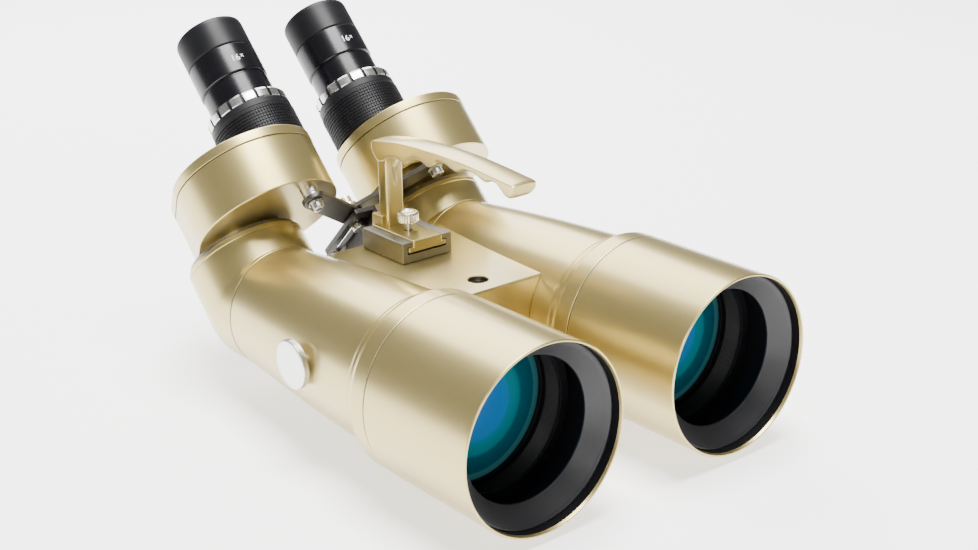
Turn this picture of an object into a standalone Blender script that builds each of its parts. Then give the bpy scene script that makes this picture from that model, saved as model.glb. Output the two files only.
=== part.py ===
# Large astronomy binoculars with 45-degree eyepieces, built as separate solids.
# Frame: origin at the middle of the tripod foot's bottom face, +Z up,
# objectives towards -Y, eyepieces towards +Y. "right" and "left" are the
# user's own right (-X) and left (+X) when looking through the eyepieces.
import bpy
import bmesh
from math import sin, cos, tan, pi, radians, degrees, sqrt, atan2, hypot
from mathutils import Matrix, Vector

for ob in list(bpy.data.objects):
    bpy.data.objects.remove(ob, do_unlink=True)

MM = 0.001

# ---------------------------------------------------------------- dimensions
# All in millimetres.
BIG, MID, SMALL = 28, 20, 16   # sides on the large, middle and small round pieces
GAP = 0.3                 # clearance left between pieces that touch
BARREL_HALF = 64.0        # half the spacing of the two barrel axes
AXIS_H = 52.0             # barrel axes above the tripod foot's face
FRONT_Y = -160.0          # plane of the hood mouths

HOOD_R = 48.0             # outside radius of the dew hood
HOOD_WALL = 1.7
HOOD_LEN = 77.3
HOOD_RING_END = 91.6      # rear end of the ring behind the hood
SLEEVE_R = 43.4           # barrel nose that the hood slides on
BARREL_START = 48.0
TAPER_START = 100.0
BARREL_END = 221.2
BARREL_R0 = 42.6          # radius where the taper starts
BARREL_R1 = 34.3          # radius at the rear end
BARREL_WALL = 2.5
LENS_R = 40.3             # objective, 80 mm clear aperture

ELBOW_R = 34.6
ELBOW_WALL = 2.6
ELBOW_M = 237.0           # distance from the mouths to the bend's centre
ELBOW_TOP = 28.0          # end of the elbow along the 45-degree axis
COLLAR_TOP = 31.3
RING_TOP = 33.9

DRUM_R = 41.9             # prism housing
DRUM_C = (8.8, 23.3)      # its centre from the turret axis: inboard, forward
NECK_LOBE = 27.0          # the housing's lobe over the turret axis
DRUM_WALL = 2.2
DRUM_S0 = 36.3
DRUM_S1 = 67.0
COVER_TOP = 73.5
EYE_OFF = (27.2, 25.7)    # eyepiece axis from the turret axis
BEND = radians(45)

KNURL_R = 24.8
FOCUS_TOP = 100.4
EYECUP_R = 20.4
EYECUP_TOP = 160.0

STUD = (22.0, 54.0)       # lever stud from the turret axis
PIN_N = 18.6              # centre pin's place along the slot
LEVER_W = 12.0
LEVER_T = 2.8
LEVER_S = {"right": 27.4, "left": 30.6}

BRIDGE_TOP = 26.6         # above the barrel axes
BRIDGE_Y0 = 113.5
BRIDGE_Y1 = 216.0
BRIDGE_BOTTOM = -22.0

FILTER_Y = 144.0
FILTER_Z = 3.7
KNOB_R = 13.0

COLOURS = {
    "gold_paint": ((0.62, 0.53, 0.34), 0.32, 0.75),
    "black_paint": ((0.015, 0.015, 0.017), 0.65, 0.0),
    "grey_baffle": ((0.06, 0.06, 0.065), 0.7, 0.0),
    "steel": ((0.55, 0.54, 0.52), 0.3, 1.0),
    "bright_steel": ((0.86, 0.85, 0.83), 0.22, 1.0),
    "grey_anodised": ((0.30, 0.29, 0.27), 0.42, 0.9),
    "rubber": ((0.02, 0.02, 0.022), 0.75, 0.0),
    "black_gloss": ((0.02, 0.02, 0.023), 0.25, 0.0),
    "coated_glass": ((0.05, 0.35, 0.40), 0.05, 0.0),
    "prism_glass": ((0.75, 0.82, 0.82), 0.05, 0.0),
    "filter_glass": ((0.10, 0.35, 0.20), 0.05, 0.0),
}
MATS = {}
for _name, (_c, _r, _m) in COLOURS.items():
    mat = bpy.data.materials.new(_name)
    mat.use_nodes = True
    bsdf = mat.node_tree.nodes["Principled BSDF"]
    bsdf.inputs["Base Color"].default_value = (*_c, 1.0)
    bsdf.inputs["Roughness"].default_value = _r
    bsdf.inputs["Metallic"].default_value = _m
    MATS[_name] = mat


# ------------------------------------------------------------------- helpers
def empty(name, matrix, parent=None):
    ob = bpy.data.objects.new(name, None)
    ob.empty_display_size = 0.01
    bpy.context.scene.collection.objects.link(ob)
    if parent is not None:
        ob.parent = parent
        bpy.context.view_layer.update()
        ob.matrix_parent_inverse = parent.matrix_world.inverted()
    ob.matrix_world = matrix
    bpy.context.view_layer.update()
    return ob


def frame(origin, zdir, xdir=(1, 0, 0)):
    """Matrix with local Z along zdir and local X along xdir; origin in mm."""
    z = Vector(zdir).normalized()
    x = (Vector(xdir) - Vector(xdir).dot(z) * z).normalized()
    y = z.cross(x)
    m = Matrix((x, y, z)).transposed().to_4x4()
    m.translation = Vector(origin) * MM
    return m


def add(name, bm, mat, holder, smooth=32.0, helper=False):
    """Finish a bmesh (already in metres, in the holder's local frame)."""
    bmesh.ops.remove_doubles(bm, verts=bm.verts, dist=1e-6)
    bmesh.ops.recalc_face_normals(bm, faces=bm.faces)
    me = bpy.data.meshes.new(name)
    bm.to_mesh(me)
    bm.free()
    if smooth:
        me.shade_smooth()
        me.set_sharp_from_angle(angle=radians(smooth))
    ob = bpy.data.objects.new(name, me)
    bpy.context.scene.collection.objects.link(ob)
    if holder is not None:
        ob.parent = holder
    if helper:
        ob.hide_render = True
        ob.display_type = "WIRE"
    else:
        me.materials.append(MATS[mat])
    return ob


def turned_bm(profile, seg, centre=(0.0, 0.0), start=0.0):
    """Spin a closed or axis-to-axis profile of (radius, height) round local Z."""
    bm = bmesh.new()
    vs = [bm.verts.new((r * cos(start) * MM, r * sin(start) * MM, z * MM)) for r, z in profile]
    n = len(vs)
    open_ends = profile[0][0] == 0.0 and profile[-1][0] == 0.0
    es = [bm.edges.new((vs[i], vs[(i + 1) % n])) for i in range(n - 1 if open_ends else n)]
    bmesh.ops.spin(bm, geom=vs + es, cent=(0, 0, 0), axis=(0, 0, 1), dvec=(0, 0, 0),
                   angle=2 * pi, steps=seg, use_merge=True, use_duplicate=False)
    bmesh.ops.remove_doubles(bm, verts=bm.verts, dist=1e-6)
    bmesh.ops.translate(bm, verts=bm.verts, vec=(centre[0] * MM, centre[1] * MM, 0))
    return bm


def turned(name, profile, seg, mat, holder, centre=(0.0, 0.0), smooth=32.0, helper=False, start=0.0):
    return add(name, turned_bm(profile, seg, centre, start), mat, holder, smooth, helper)


def plate_bm(outline, z0, z1):
    """Extrude a closed outline of (x, y) from z0 to z1."""
    bm = bmesh.new()
    vs = [bm.verts.new((x * MM, y * MM, z0 * MM)) for x, y in outline]
    f = bm.faces.new(vs)
    ext = bmesh.ops.extrude_face_region(bm, geom=[f])
    up = [g for g in ext["geom"] if isinstance(g, bmesh.types.BMVert)]
    bmesh.ops.translate(bm, verts=up, vec=(0, 0, (z1 - z0) * MM))
    return bm


def plate(name, outline, z0, z1, mat, holder, smooth=0.0, helper=False, bevel=0.0, segs=1):
    ob = add(name, plate_bm(outline, z0, z1), mat, holder, smooth, helper)
    if bevel:
        bv = ob.modifiers.new("edge", "BEVEL")
        bv.width = bevel * MM
        bv.segments = segs
        bv.limit_method = "ANGLE"
        bv.angle_limit = radians(40)
    return ob


def rect(x0, x1, y0, y1):
    return [(x0, y0), (x1, y0), (x1, y1), (x0, y1)]


def boolean(ob, tool, op):
    m = ob.modifiers.new(op.lower(), "BOOLEAN")
    m.operation = op
    m.solver = "EXACT"
    m.object = tool
    return m


def circle(cx, cy, r, n, start=0.0):
    return [(cx + r * cos(start + 2 * pi * i / n), cy + r * sin(start + 2 * pi * i / n)) for i in range(n)]


def hull_outline(c1, r1, c2, r2, n):
    """Outline of the shape that wraps two circles, as n points by angle."""
    cx, cy = (0.65 * c1[0] + 0.35 * c2[0]), (0.65 * c1[1] + 0.35 * c2[1])
    pts = []
    for i in range(n):
        a = 2 * pi * i / n
        dx, dy = cos(a), sin(a)
        best = 0.0
        for k in range(41):
            t = k / 40.0
            qx, qy = c1[0] + (c2[0] - c1[0]) * t - cx, c1[1] + (c2[1] - c1[1]) * t - cy
            r = r1 + (r2 - r1) * t
            b = qx * dx + qy * dy
            disc = b * b - (qx * qx + qy * qy) + r * r
            if disc >= 0:
                best = max(best, b + sqrt(disc))
        pts.append((cx + best * dx, cy + best * dy))
    return pts


def capsule(p, q, r, n=8):
    """Outline of a flat bar with round ends from p to q."""
    a = atan2(q[1] - p[1], q[0] - p[0])
    out = []
    for c, a0 in ((q, a - pi / 2), (p, a + pi / 2)):
        for i in range(n + 1):
            t = a0 + pi * i / n
            out.append((c[0] + r * cos(t), c[1] + r * sin(t)))
    return out


def arc_pts(r0, z0, r1, z1, sag, n):
    """Points on a shallow arc from (r0, z0) to (r1, z1), bulging by sag in z."""
    out = []
    for i in range(n + 1):
        t = i / n
        out.append((r0 + (r1 - r0) * t, z0 + (z1 - z0) * t + sag * (1 - (1 - t) ** 2) * 0))
    return out


def dome(r, z_edge, z_mid, n):
    """A spherical lens face from the edge (r, z_edge) to the axis (0, z_mid)."""
    sag = z_mid - z_edge
    rad = (r * r + sag * sag) / (2 * abs(sag))
    sgn = 1 if sag > 0 else -1
    out = []
    for i in range(n + 1):
        rr = r * (1 - i / n)
        out.append((rr, z_mid - sgn * (rad - sqrt(rad * rad - rr * rr))))
    out[-1] = (0.0, z_mid)
    return out


def barrel_r(y):
    """Outside radius of the tapered barrel at y from the mouths."""
    t = min(max((y - TAPER_START) / (BARREL_END - TAPER_START), 0.0), 1.0)
    return BARREL_R0 + (BARREL_R1 - BARREL_R0) * t + 0.9 * sin(pi * t)


# -------------------------------------------------------------- base frames
body = empty("body_frame", Matrix.Identity(4))
# Shop frame: x across, y along the barrels from the mouths, z above the axes.
shop = empty("shop_frame", Matrix.Translation(Vector((0, FRONT_Y, AXIS_H)) * MM), body)
E = Vector((0, cos(BEND), sin(BEND)))


def side_parts(side):
    sx = -1.0 if side == "right" else 1.0      # which side of the centre plane
    inb = -sx                                  # direction of "inboard" along X
    P = side + "_"

    def tl(p):
        """(inboard, forward) on the turret's plane to its local x, y."""
        return (inb * p[0], -p[1])

    barrel_f = empty(P + "barrel_axis", frame((sx * BARREL_HALF, FRONT_Y, AXIS_H), (0, 1, 0)), body)
    turret_f = empty(P + "turret_axis", frame((sx * BARREL_HALF, FRONT_Y + ELBOW_M, AXIS_H), E), body)
    ex, ey = tl(EYE_OFF)
    eye_f = empty(P + "eyepiece_axis", turret_f.matrix_world @ Matrix.Translation(Vector((ex, ey, 0)) * MM), turret_f)

    # ---- dew hood, its rear bearing ring and its front baffle
    hi = HOOD_R - HOOD_WALL
    turned(P + "hood", [(hi, 2.0), (46.9, 0.0), (47.6, 0.0), (HOOD_R, 0.6), (HOOD_R, HOOD_LEN - 0.4),
                        (HOOD_R - 0.4, HOOD_LEN), (hi, HOOD_LEN)], BIG, "gold_paint", barrel_f)
    rb = SLEEVE_R + 0.35
    turned(P + "hood_ring", [(rb, 70.0), (hi - GAP, 70.0), (hi - GAP, HOOD_LEN + GAP), (HOOD_R - 0.5, HOOD_LEN + GAP),
                             (HOOD_R - 0.1, HOOD_LEN + 0.8), (HOOD_R - 0.1, 88.0), (HOOD_R - 0.9, 90.2),
                             (HOOD_R - 2.6, HOOD_RING_END), (rb, HOOD_RING_END)], BIG, "gold_paint", barrel_f)
    turned(P + "hood_baffle", [(hi - GAP, 6.0), (hi - GAP, 17.0), (37.2, 16.2), (36.4, 15.6), (36.4, 14.8),
                               (45.2, 6.0)], MID, "grey_baffle", barrel_f)

    # ---- objective: cell, doublet, retaining ring
    turned(P + "objective_cell", [(38.3, 34.0), (43.2, 34.0), (43.2, BARREL_START - GAP), (41.7, BARREL_START - GAP),
                                  (41.7, 67.5), (38.8, 67.5), (38.8, 65.6), (40.6, 65.6), (40.6, 36.0), (38.3, 36.0)],
           MID, "black_paint", barrel_f)
    turned(P + "objective_doublet", dome(LENS_R, 65.2, 64.2, 2)[::-1] +
           dome(LENS_R, 52.3, 48.6, 4), MID, "coated_glass", barrel_f)
    turned(P + "objective_retainer", [(39.0, 49.6), (LENS_R, 49.6), (LENS_R, 52.0 - 0.05), (39.0, 51.6)],
           MID, "black_paint", barrel_f)

    # ---- tapered barrel, with the filter shaft's hole
    outer = [(SLEEVE_R, BARREL_START), (SLEEVE_R, 96.5), (barrel_r(TAPER_START), TAPER_START)]
    outer += [(barrel_r(y), y) for y in (124.0, 148.0, 172.0, 197.0, BARREL_END)]
    inner = [(barrel_r(y) - BARREL_WALL, y) for y in (BARREL_END, 197.0, 160.0, 124.0, 104.0)]
    inner += [(40.2, 98.0), (40.2, 68.2), (42.0, 68.2), (42.0, BARREL_START)]
    barrel = turned(P + "barrel", outer + inner, BIG, "gold_paint", barrel_f)
    filt_f = empty(P + "filter_axis", frame((sx * BARREL_HALF, FRONT_Y + FILTER_Y, AXIS_H + FILTER_Z), (sx, 0, 0),
                                            (0, 1, 0)), body)
    drill = turned(P + "filter_drill", [(0, 30.0), (3.5, 30.0), (3.5, 46.0), (0, 46.0)], 12, None, filt_f, helper=True)
    boolean(barrel, drill, "DIFFERENCE")

    # ---- filter: knob and shaft outside, ring frame and glass in the barrel
    turned(P + "filter_knob", [(0, 31.2), (3.1, 31.2), (3.1, 41.6), (6.0, 41.6), (6.0, 42.3), (KNOB_R - 0.4, 42.3),
                               (KNOB_R, 42.7), (KNOB_R, 45.2), (KNOB_R - 0.5, 45.7), (0, 45.7)],
           SMALL, "bright_steel", filt_f)
    ring = plate(P + "filter_frame", circle(0, 0, 30.4, SMALL), -1.6, 1.6, "black_paint", None, smooth=32.0)
    ring.parent = filt_f
    ring.rotation_euler = (pi / 2, 0, 0)
    hole = plate(P + "filter_window", circle(0, 0, 27.0, SMALL), -3.0, 3.0, None, None, helper=True)
    hole.parent = filt_f
    hole.rotation_euler = (pi / 2, 0, 0)
    boolean(ring, hole, "DIFFERENCE")
    glass = plate(P + "filter_glass", circle(0, 0, 26.7, SMALL), -0.9, 0.9, "filter_glass", None, smooth=32.0)
    glass.parent = filt_f
    glass.rotation_euler = (pi / 2, 0, 0)

    # ---- 45-degree elbow: each line along the tube turns its own corner
    bm = bmesh.new()
    n_round, steps = BIG, 3
    loops_all = []
    for r in (ELBOW_R, ELBOW_R - ELBOW_WALL):
        lines = []
        for i in range(n_round):
            a = 2 * pi * i / n_round
            h, w = r * cos(a), r * sin(a)
            fil = 1.0 + 26.0 * (0.5 + 0.5 * h / r) ** 1.6
            t = tan(BEND / 2)
            d1, m1 = Vector((0, 1, 0)), Vector((0, 0, -1))
            corner = Vector((0, ELBOW_M, 0)) + m1 * h + d1 * (h * t)
            cen = corner - d1 * (fil * t) - m1 * fil
            pts = [Vector((0, BARREL_END + GAP, 0)) + m1 * h]
            pts += [cen + (m1 * cos(BEND * k / steps) + d1 * sin(BEND * k / steps)) * fil for k in range(steps + 1)]
            m2 = Vector((0, cos(BEND), -sin(BEND)))
            pts.append(Vector((0, ELBOW_M, 0)) + E * ELBOW_TOP + m2 * h)
            lines.append([bm.verts.new(Vector((p.x + w + sx * BARREL_HALF, p.y, p.z)) * MM) for p in pts])
        loops_all.append(lines)
    rows = steps + 3
    for lines in loops_all:
        for i in range(n_round):
            j = (i + 1) % n_round
            for k in range(rows - 1):
                bm.faces.new((lines[i][k], lines[j][k], lines[j][k + 1], lines[i][k + 1]))
    for k in (0, rows - 1):
        for i in range(n_round):
            j = (i + 1) % n_round
            o, q = loops_all
            bm.faces.new((o[i][k], o[j][k], q[j][k], q[i][k]))
    add(P + "elbow", bm, "gold_paint", shop)

    # deviation prism inside the elbow
    out = [(-14.0, -14.5), (7.0, -17.5), (20.0, 0.5), (0.7, 20.0), (-14.0, 12.5)]
    bm = bmesh.new()
    vs = [bm.verts.new(Vector((sx * BARREL_HALF - 14.0, ELBOW_M + y, z)) * MM) for y, z in out]
    f = bm.faces.new(vs)
    up = [g for g in bmesh.ops.extrude_face_region(bm, geom=[f])["geom"] if isinstance(g, bmesh.types.BMVert)]
    bmesh.ops.translate(bm, verts=up, vec=(28.0 * MM, 0, 0))
    add(P + "elbow_prism", bm, "prism_glass", shop, smooth=0)

    # ---- turret: fixed collar and bearing ring
    turned(P + "turret_collar", [(29.5, ELBOW_TOP + GAP), (34.2, ELBOW_TOP + GAP), (34.4, ELBOW_TOP + 0.6),
                                 (34.4, COLLAR_TOP - 0.5), (34.0, COLLAR_TOP), (29.5, COLLAR_TOP)],
           MID, "gold_paint", turret_f)
    turned(P + "bearing_ring", [(25.8, COLLAR_TOP + GAP), (32.6, COLLAR_TOP + GAP), (32.6, RING_TOP - 0.4),
                                (32.2, RING_TOP), (25.8, RING_TOP)], MID, "steel", turret_f)

    # ---- prism housing that swings on the turret, and its cover
    dc = tl(DRUM_C)
    cup = plate(P + "prism_housing", hull_outline(dc, DRUM_R, (0, 0), NECK_LOBE, BIG), DRUM_S0, DRUM_S1,
                "gold_paint", turret_f, smooth=32.0)
    hollow = plate(P + "housing_hollow", hull_outline(dc, DRUM_R - DRUM_WALL, (0, 0), NECK_LOBE - DRUM_WALL, BIG),
                   DRUM_S0 + 2.6, DRUM_S1 + 4, None, turret_f, helper=True)
    neck = turned(P + "neck_form", [(0, 29.0), (25.3, 29.0), (25.3, DRUM_S0 + 1.3), (0, DRUM_S0 + 1.3)], MID, None,
                  turret_f, helper=True)
    bore = turned(P + "neck_bore", [(0, 27.0), (22.8, 27.0), (22.8, DRUM_S0 + 5), (0, DRUM_S0 + 5)], MID, None,
                  turret_f, helper=True)
    boolean(cup, hollow, "DIFFERENCE")
    boolean(cup, neck, "UNION")
    boolean(cup, bore, "DIFFERENCE")
    cover = plate(P + "housing_cover", hull_outline(dc, DRUM_R + 0.3, (0, 0), NECK_LOBE + 0.3, BIG), DRUM_S1 + GAP,
                  COVER_TOP, "gold_paint", turret_f, smooth=32.0, bevel=0.7)
    port = turned(P + "cover_port", [(0, DRUM_S1 - 3), (21.4, DRUM_S1 - 3), (21.4, COVER_TOP + 3), (0, COVER_TOP + 3)],
                  SMALL, None, turret_f, centre=(ex, ey), helper=True)
    boolean(cover, port, "DIFFERENCE")

    # rhomboid prism: carries the light from the turret axis to the eyepiece axis
    reach = hypot(*EYE_OFF)
    u = Vector((inb * EYE_OFF[0], -EYE_OFF[1], 0)) / reach
    v = Vector((-u.y, u.x, 0))
    bm = bmesh.new()
    quad = [(-10.0, 41.0), (reach - 10.0, 41.0), (reach + 10.0, 61.0), (10.0, 61.0)]
    vs = [bm.verts.new((u * d - v * 10.0 + Vector((0, 0, s))) * MM) for d, s in quad]
    f = bm.faces.new(vs)
    up = [g for g in bmesh.ops.extrude_face_region(bm, geom=[f])["geom"] if isinstance(g, bmesh.types.BMVert)]
    bmesh.ops.translate(bm, verts=up, vec=v * 20.0 * MM)
    add(P + "rhomboid_prism", bm, "prism_glass", turret_f, smooth=0)

    # ---- focusing: knurled ring turns, tube rises on its thread
    turned(P + "focus_ring", [(21.4, COVER_TOP + GAP), (24.2, COVER_TOP + GAP), (KNURL_R, COVER_TOP + 0.9),
                              (KNURL_R, 95.4), (24.2, 96.0), (24.4, 96.6), (24.4, FOCUS_TOP - 0.5),
                              (24.0, FOCUS_TOP), (21.4, FOCUS_TOP)], SMALL, "rubber", eye_f)
    turned(P + "focus_tube", [(19.1, 68.0), (20.8, 68.0), (20.8, FOCUS_TOP - 0.2), (19.1, FOCUS_TOP - 0.2)],
           SMALL, "black_paint", eye_f)
    turned(P + "lock_ring", [(20.15, FOCUS_TOP + GAP), (24.0, FOCUS_TOP + GAP), (24.3, FOCUS_TOP + 0.7),
                             (24.3, 106.2), (23.5, 107.0), (20.15, 107.0)], SMALL, "bright_steel", eye_f)

    # ---- interchangeable eyepiece
    turned(P + "eyepiece_body", [(16.0, 84.0), (18.8, 84.0), (18.8, 100.5), (19.8, 101.2), (19.8, 121.0),
                                 (19.5, 121.3), (19.5, 121.9), (20.2, 122.2), (20.5, 122.6), (20.5, 140.3),
                                 (20.2, 140.7), (17.5, 140.7), (17.5, 150.0), (15.0, 150.0), (15.0, 141.0),
                                 (13.0, 141.0), (13.0, 96.0), (16.0, 96.0)], SMALL, "black_gloss", eye_f)
    turned(P + "eyecup", [(17.8, 141.0), (20.1, 141.0), (EYECUP_R, 141.4), (EYECUP_R, 158.6), (19.9, 159.7),
                          (19.2, EYECUP_TOP), (18.5, 159.6), (18.2, 158.8), (17.9, 151.5), (17.8, 150.5)],
           SMALL, "rubber", eye_f)
    turned(P + "eye_lens", dome(14.7, 143.4, 141.6, 2)[::-1] + dome(14.7, 147.4, 149.2, 2), 16, "coated_glass", eye_f)
    turned(P + "field_lens", dome(15.7, 90.0, 88.0, 2)[::-1] + dome(15.7, 94.0, 94.9, 2), 16, "prism_glass", eye_f)

    # ---- spacing linkage: stud under the housing and a lever to the centre pin
    s0 = LEVER_S[side]
    st = tl(STUD)
    turned(P + "lever_stud", [(0, DRUM_S0 - GAP), (4.2, DRUM_S0 - GAP), (4.2, s0 + LEVER_T + 0.4),
                              (2.2, s0 + LEVER_T + 0.4), (2.2, s0 - 0.4), (3.4, s0 - 0.4), (3.4, s0 - 2.8),
                              (3.0, s0 - 3.2), (0, s0 - 3.2)], 16, "bright_steel", turret_f, centre=st)
    pin = (inb * BARREL_HALF, -PIN_N)
    lever = plate(P + "lever", capsule(st, pin, LEVER_W / 2), s0, s0 + LEVER_T, "grey_anodised", turret_f)
    h1 = plate(P + "lever_hole_a", circle(st[0], st[1], 2.6, 14), s0 - 2, s0 + LEVER_T + 2, None, turret_f, helper=True)
    h2 = plate(P + "lever_hole_b", circle(pin[0], pin[1], 4.3, 16), s0 - 2, s0 + LEVER_T + 2, None, turret_f,
               helper=True)
    boolean(lever, h1, "DIFFERENCE")
    boolean(lever, h2, "DIFFERENCE")


for _side in ("right", "left"):
    side_parts(_side)

# -------------------------------------------------------------------- centre
centre_f = empty("centre_turret_plane", frame((0, FRONT_Y + ELBOW_M, AXIS_H), E), body)


def shop_solid(name, outline, axis, a0, a1, mat, bevel=0.0, segs=1, helper=False, smooth=0.0, holder=None):
    """Extrude an outline in the shop frame along x, y or z."""
    bm = bmesh.new()
    if axis == "x":
        vs = [bm.verts.new(Vector((a0, p, q)) * MM) for p, q in outline]
        d = Vector((a1 - a0, 0, 0))
    elif axis == "y":
        vs = [bm.verts.new(Vector((p, a0, q)) * MM) for p, q in outline]
        d = Vector((0, a1 - a0, 0))
    else:
        vs = [bm.verts.new(Vector((p, q, a0)) * MM) for p, q in outline]
        d = Vector((0, 0, a1 - a0))
    f = bm.faces.new(vs)
    up = [g for g in bmesh.ops.extrude_face_region(bm, geom=[f])["geom"] if isinstance(g, bmesh.types.BMVert)]
    bmesh.ops.translate(bm, verts=up, vec=d * MM)
    ob = add(name, bm, mat, holder or shop, smooth, helper)
    if bevel:
        bv = ob.modifiers.new("edge", "BEVEL")
        bv.width = bevel * MM
        bv.segments = segs
        bv.limit_method = "ANGLE"
        bv.angle_limit = radians(40)
    return ob


# bridge casting between the barrels, scooped to sit against both of them
bridge = shop_solid("bridge", [(-43.0, BRIDGE_BOTTOM), (43.0, BRIDGE_BOTTOM), (43.0, BRIDGE_TOP), (-43.0, BRIDGE_TOP)],
                    "y", BRIDGE_Y0, BRIDGE_Y1, "gold_paint")
for _i, _sx in enumerate((-1, 1)):
    _f = bpy.data.objects[("right" if _sx < 0 else "left") + "_barrel_axis"]
    _prof = [(0, 108.0)] + [(barrel_r(y) + GAP, y) for y in (108.0, 124.0, 148.0, 172.0, 197.0, BARREL_END)] + \
            [(0, BARREL_END)]
    _scoop = turned("bridge_scoop_%d" % _i, _prof, BIG, None, _f, helper=True)
    boolean(bridge, _scoop, "DIFFERENCE")
_cav = shop_solid("bridge_cavity", rect(-13.0, 13.0, 140.0, 190.0), "z", BRIDGE_BOTTOM - 5, BRIDGE_TOP - 6.5, None,
                  helper=True)
boolean(bridge, _cav, "DIFFERENCE")
_well = turned("bridge_well", [(0, 0.8), (4.1, 0.8), (4.1, 7.4), (6.3, 7.4), (6.3, 14.0), (0, 14.0)], 16, None, None,
               helper=True)
_well.matrix_world = Matrix.Translation(Vector((0, FRONT_Y + 129.1, AXIS_H + BRIDGE_TOP - 10.0)) * MM)
boolean(bridge, _well, "DIFFERENCE")

# tripod foot with its two threaded sockets
foot = shop_solid("tripod_foot", [(-21.0, -29.0), (-21.0, BRIDGE_BOTTOM - GAP), (21.0, BRIDGE_BOTTOM - GAP),
                                  (21.0, -29.0), (14.0, -33.0), (14.0, -43.5), (22.0, -46.0), (22.0, -AXIS_H),
                                  (-22.0, -AXIS_H), (-22.0, -46.0), (-14.0, -43.5), (-14.0, -33.0)],
                  "y", -FRONT_Y - 34.0, -FRONT_Y + 34.0, "grey_anodised")
for _i, (_dy, _r) in enumerate(((-16.0, 3.2), (16.0, 4.8))):
    _s = turned("foot_socket_%d" % _i, [(0, -4.0), (_r, -4.0), (_r, 12.0), (0, 12.0)], 16, None, None, helper=True)
    _s.matrix_world = Matrix.Translation(Vector((0, _dy, 0)) * MM)
    boolean(foot, _s, "DIFFERENCE")

# handle shoe: a C-shaped rail with two lips
B = BRIDGE_TOP + GAP
shop_solid("handle_shoe", [(-16.6, B), (16.6, B), (16.6, 38.6), (10.4, 38.6), (10.4, 35.7), (13.3, 35.7), (13.3, 31.6),
                           (-13.3, 31.6), (-13.3, 35.7), (-10.4, 35.7), (-10.4, 38.6), (-16.6, 38.6)],
           "y", 173.0, 211.0, "grey_anodised")

# carry handle: foot in the rail, base block, post and finger grip
handle = shop_solid("handle", [(-13.0, 31.9), (13.0, 31.9), (13.0, 35.4), (10.1, 35.4), (10.1, 38.9), (-10.1, 38.9),
                               (-10.1, 35.4), (-13.0, 35.4)], "y", 172.2, 211.6, "gold_paint")
block = shop_solid("handle_block", [(-8.2, 203.7), (8.2, 203.7), (8.2, 213.3), (-8.2, 213.3)], "z", 38.7, 45.2, None,
                   bevel=0.6, helper=True)
post = shop_solid("handle_post", [(-5.5, 201.3), (5.5, 201.3), (5.5, 210.0), (-5.5, 210.0)], "z", 37.4, 80.6, None,
                  bevel=1.8, segs=2, helper=True)


def grip_outline():
    """Side outline of the grip (y, z): arched top, four finger hollows, hooked nose."""
    top = [(212.6, 86.4), (211.4, 87.4), (198.0, 89.5), (184.0, 91.1), (166.0, 92.0), (148.8, 92.3), (132.0, 91.8),
           (115.6, 90.7), (99.7, 89.3), (90.0, 88.5)]
    low = [(90.0, 82.6), (92.0, 81.4), (95.2, 81.3), (99.9, 84.0), (103.7, 86.5)]
    crests = [(112.6, 85.4), (136.4, 85.4), (160.5, 82.9), (181.8, 79.6)]
    for k, (cy, cz) in enumerate(crests):
        low.append((cy, cz))
        ny, nz = crests[k + 1] if k < 3 else (204.6, 76.3)
        for j in range(1, 4):
            t = j / 4.0
            low.append((cy + (ny - cy) * t, cz + (nz - cz) * t + 2.7 * sin(pi * t)))
    low += [(204.6, 76.3), (207.0, 76.7), (209.6, 79.2), (212.0, 82.2)]
    return top + low


grip = shop_solid("handle_grip", grip_outline(), "x", -8.0, 8.0, None, bevel=1.0, segs=2, helper=True)
boolean(handle, block, "UNION")
boolean(handle, post, "UNION")
boolean(handle, grip, "UNION")
tap = turned("screw_tap", [(0, 30.0), (2.3, 30.0), (2.3, 44.0), (0, 44.0)], 12, None, None, helper=True)
tap.matrix_world = Matrix.Translation(Vector((0, FRONT_Y + 190.2, AXIS_H)) * MM)
boolean(handle, tap, "DIFFERENCE")

screw_f = empty("thumbscrew_axis", Matrix.Translation(Vector((0, FRONT_Y + 190.2, AXIS_H)) * MM), body)
turned("thumbscrew", [(0, 31.9), (1.9, 31.9), (1.9, 43.6), (5.2, 43.6), (6.0, 44.3), (6.0, 49.2), (5.4, 49.8),
                      (0, 49.8)], 20, "bright_steel", screw_f)

# linkage bracket: web behind the bridge and a slotted flange for the centre pin
FL0, FL1 = 23.6, 26.6
bracket = plate("link_bracket", rect(-7.5, 7.5, -33.0, 16.0), FL0, FL1, "grey_anodised", centre_f)
slot = plate("bracket_slot", capsule((0, -PIN_N - 4.6), (0, 14.0 - 0.6), 2.6, 6), FL0 - 3, FL1 + 3, None, centre_f,
             helper=True)


def sn(s, n):
    """A point on the turret plane's (s, n) axes to shop (y, z)."""
    return (ELBOW_M + (s - n) * cos(BEND), (s + n) * sin(BEND))


web_out = [(BRIDGE_Y1 + GAP, -14.0), (BRIDGE_Y1 + GAP, 24.0), sn(FL0 + 0.5, 33.0), sn(FL0 + 0.5, -8.0), (262.0, 4.0),
           (250.0, -14.0)]
web = shop_solid("bracket_web", web_out, "x", 4.2, 7.2, None, helper=True)
boolean(bracket, web, "UNION")
boolean(bracket, slot, "DIFFERENCE")

turned("link_pin", [(0, 20.0), (3.9, 20.0), (3.9, 23.2), (2.2, 23.2), (2.2, 33.8), (5.6, 33.8), (5.6, 36.4),
                    (3.6, 37.2), (3.6, 41.0), (2.8, 42.0), (0, 42.0)], 18, "bright_steel", centre_f,
       centre=(0, -PIN_N))
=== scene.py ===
# Looks of the 45-degree astronomy binoculars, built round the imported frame.
import bpy
import bmesh
import math
from math import sin, cos, tan, pi, radians, sqrt, atan2, hypot
from mathutils import Matrix, Vector


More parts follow.
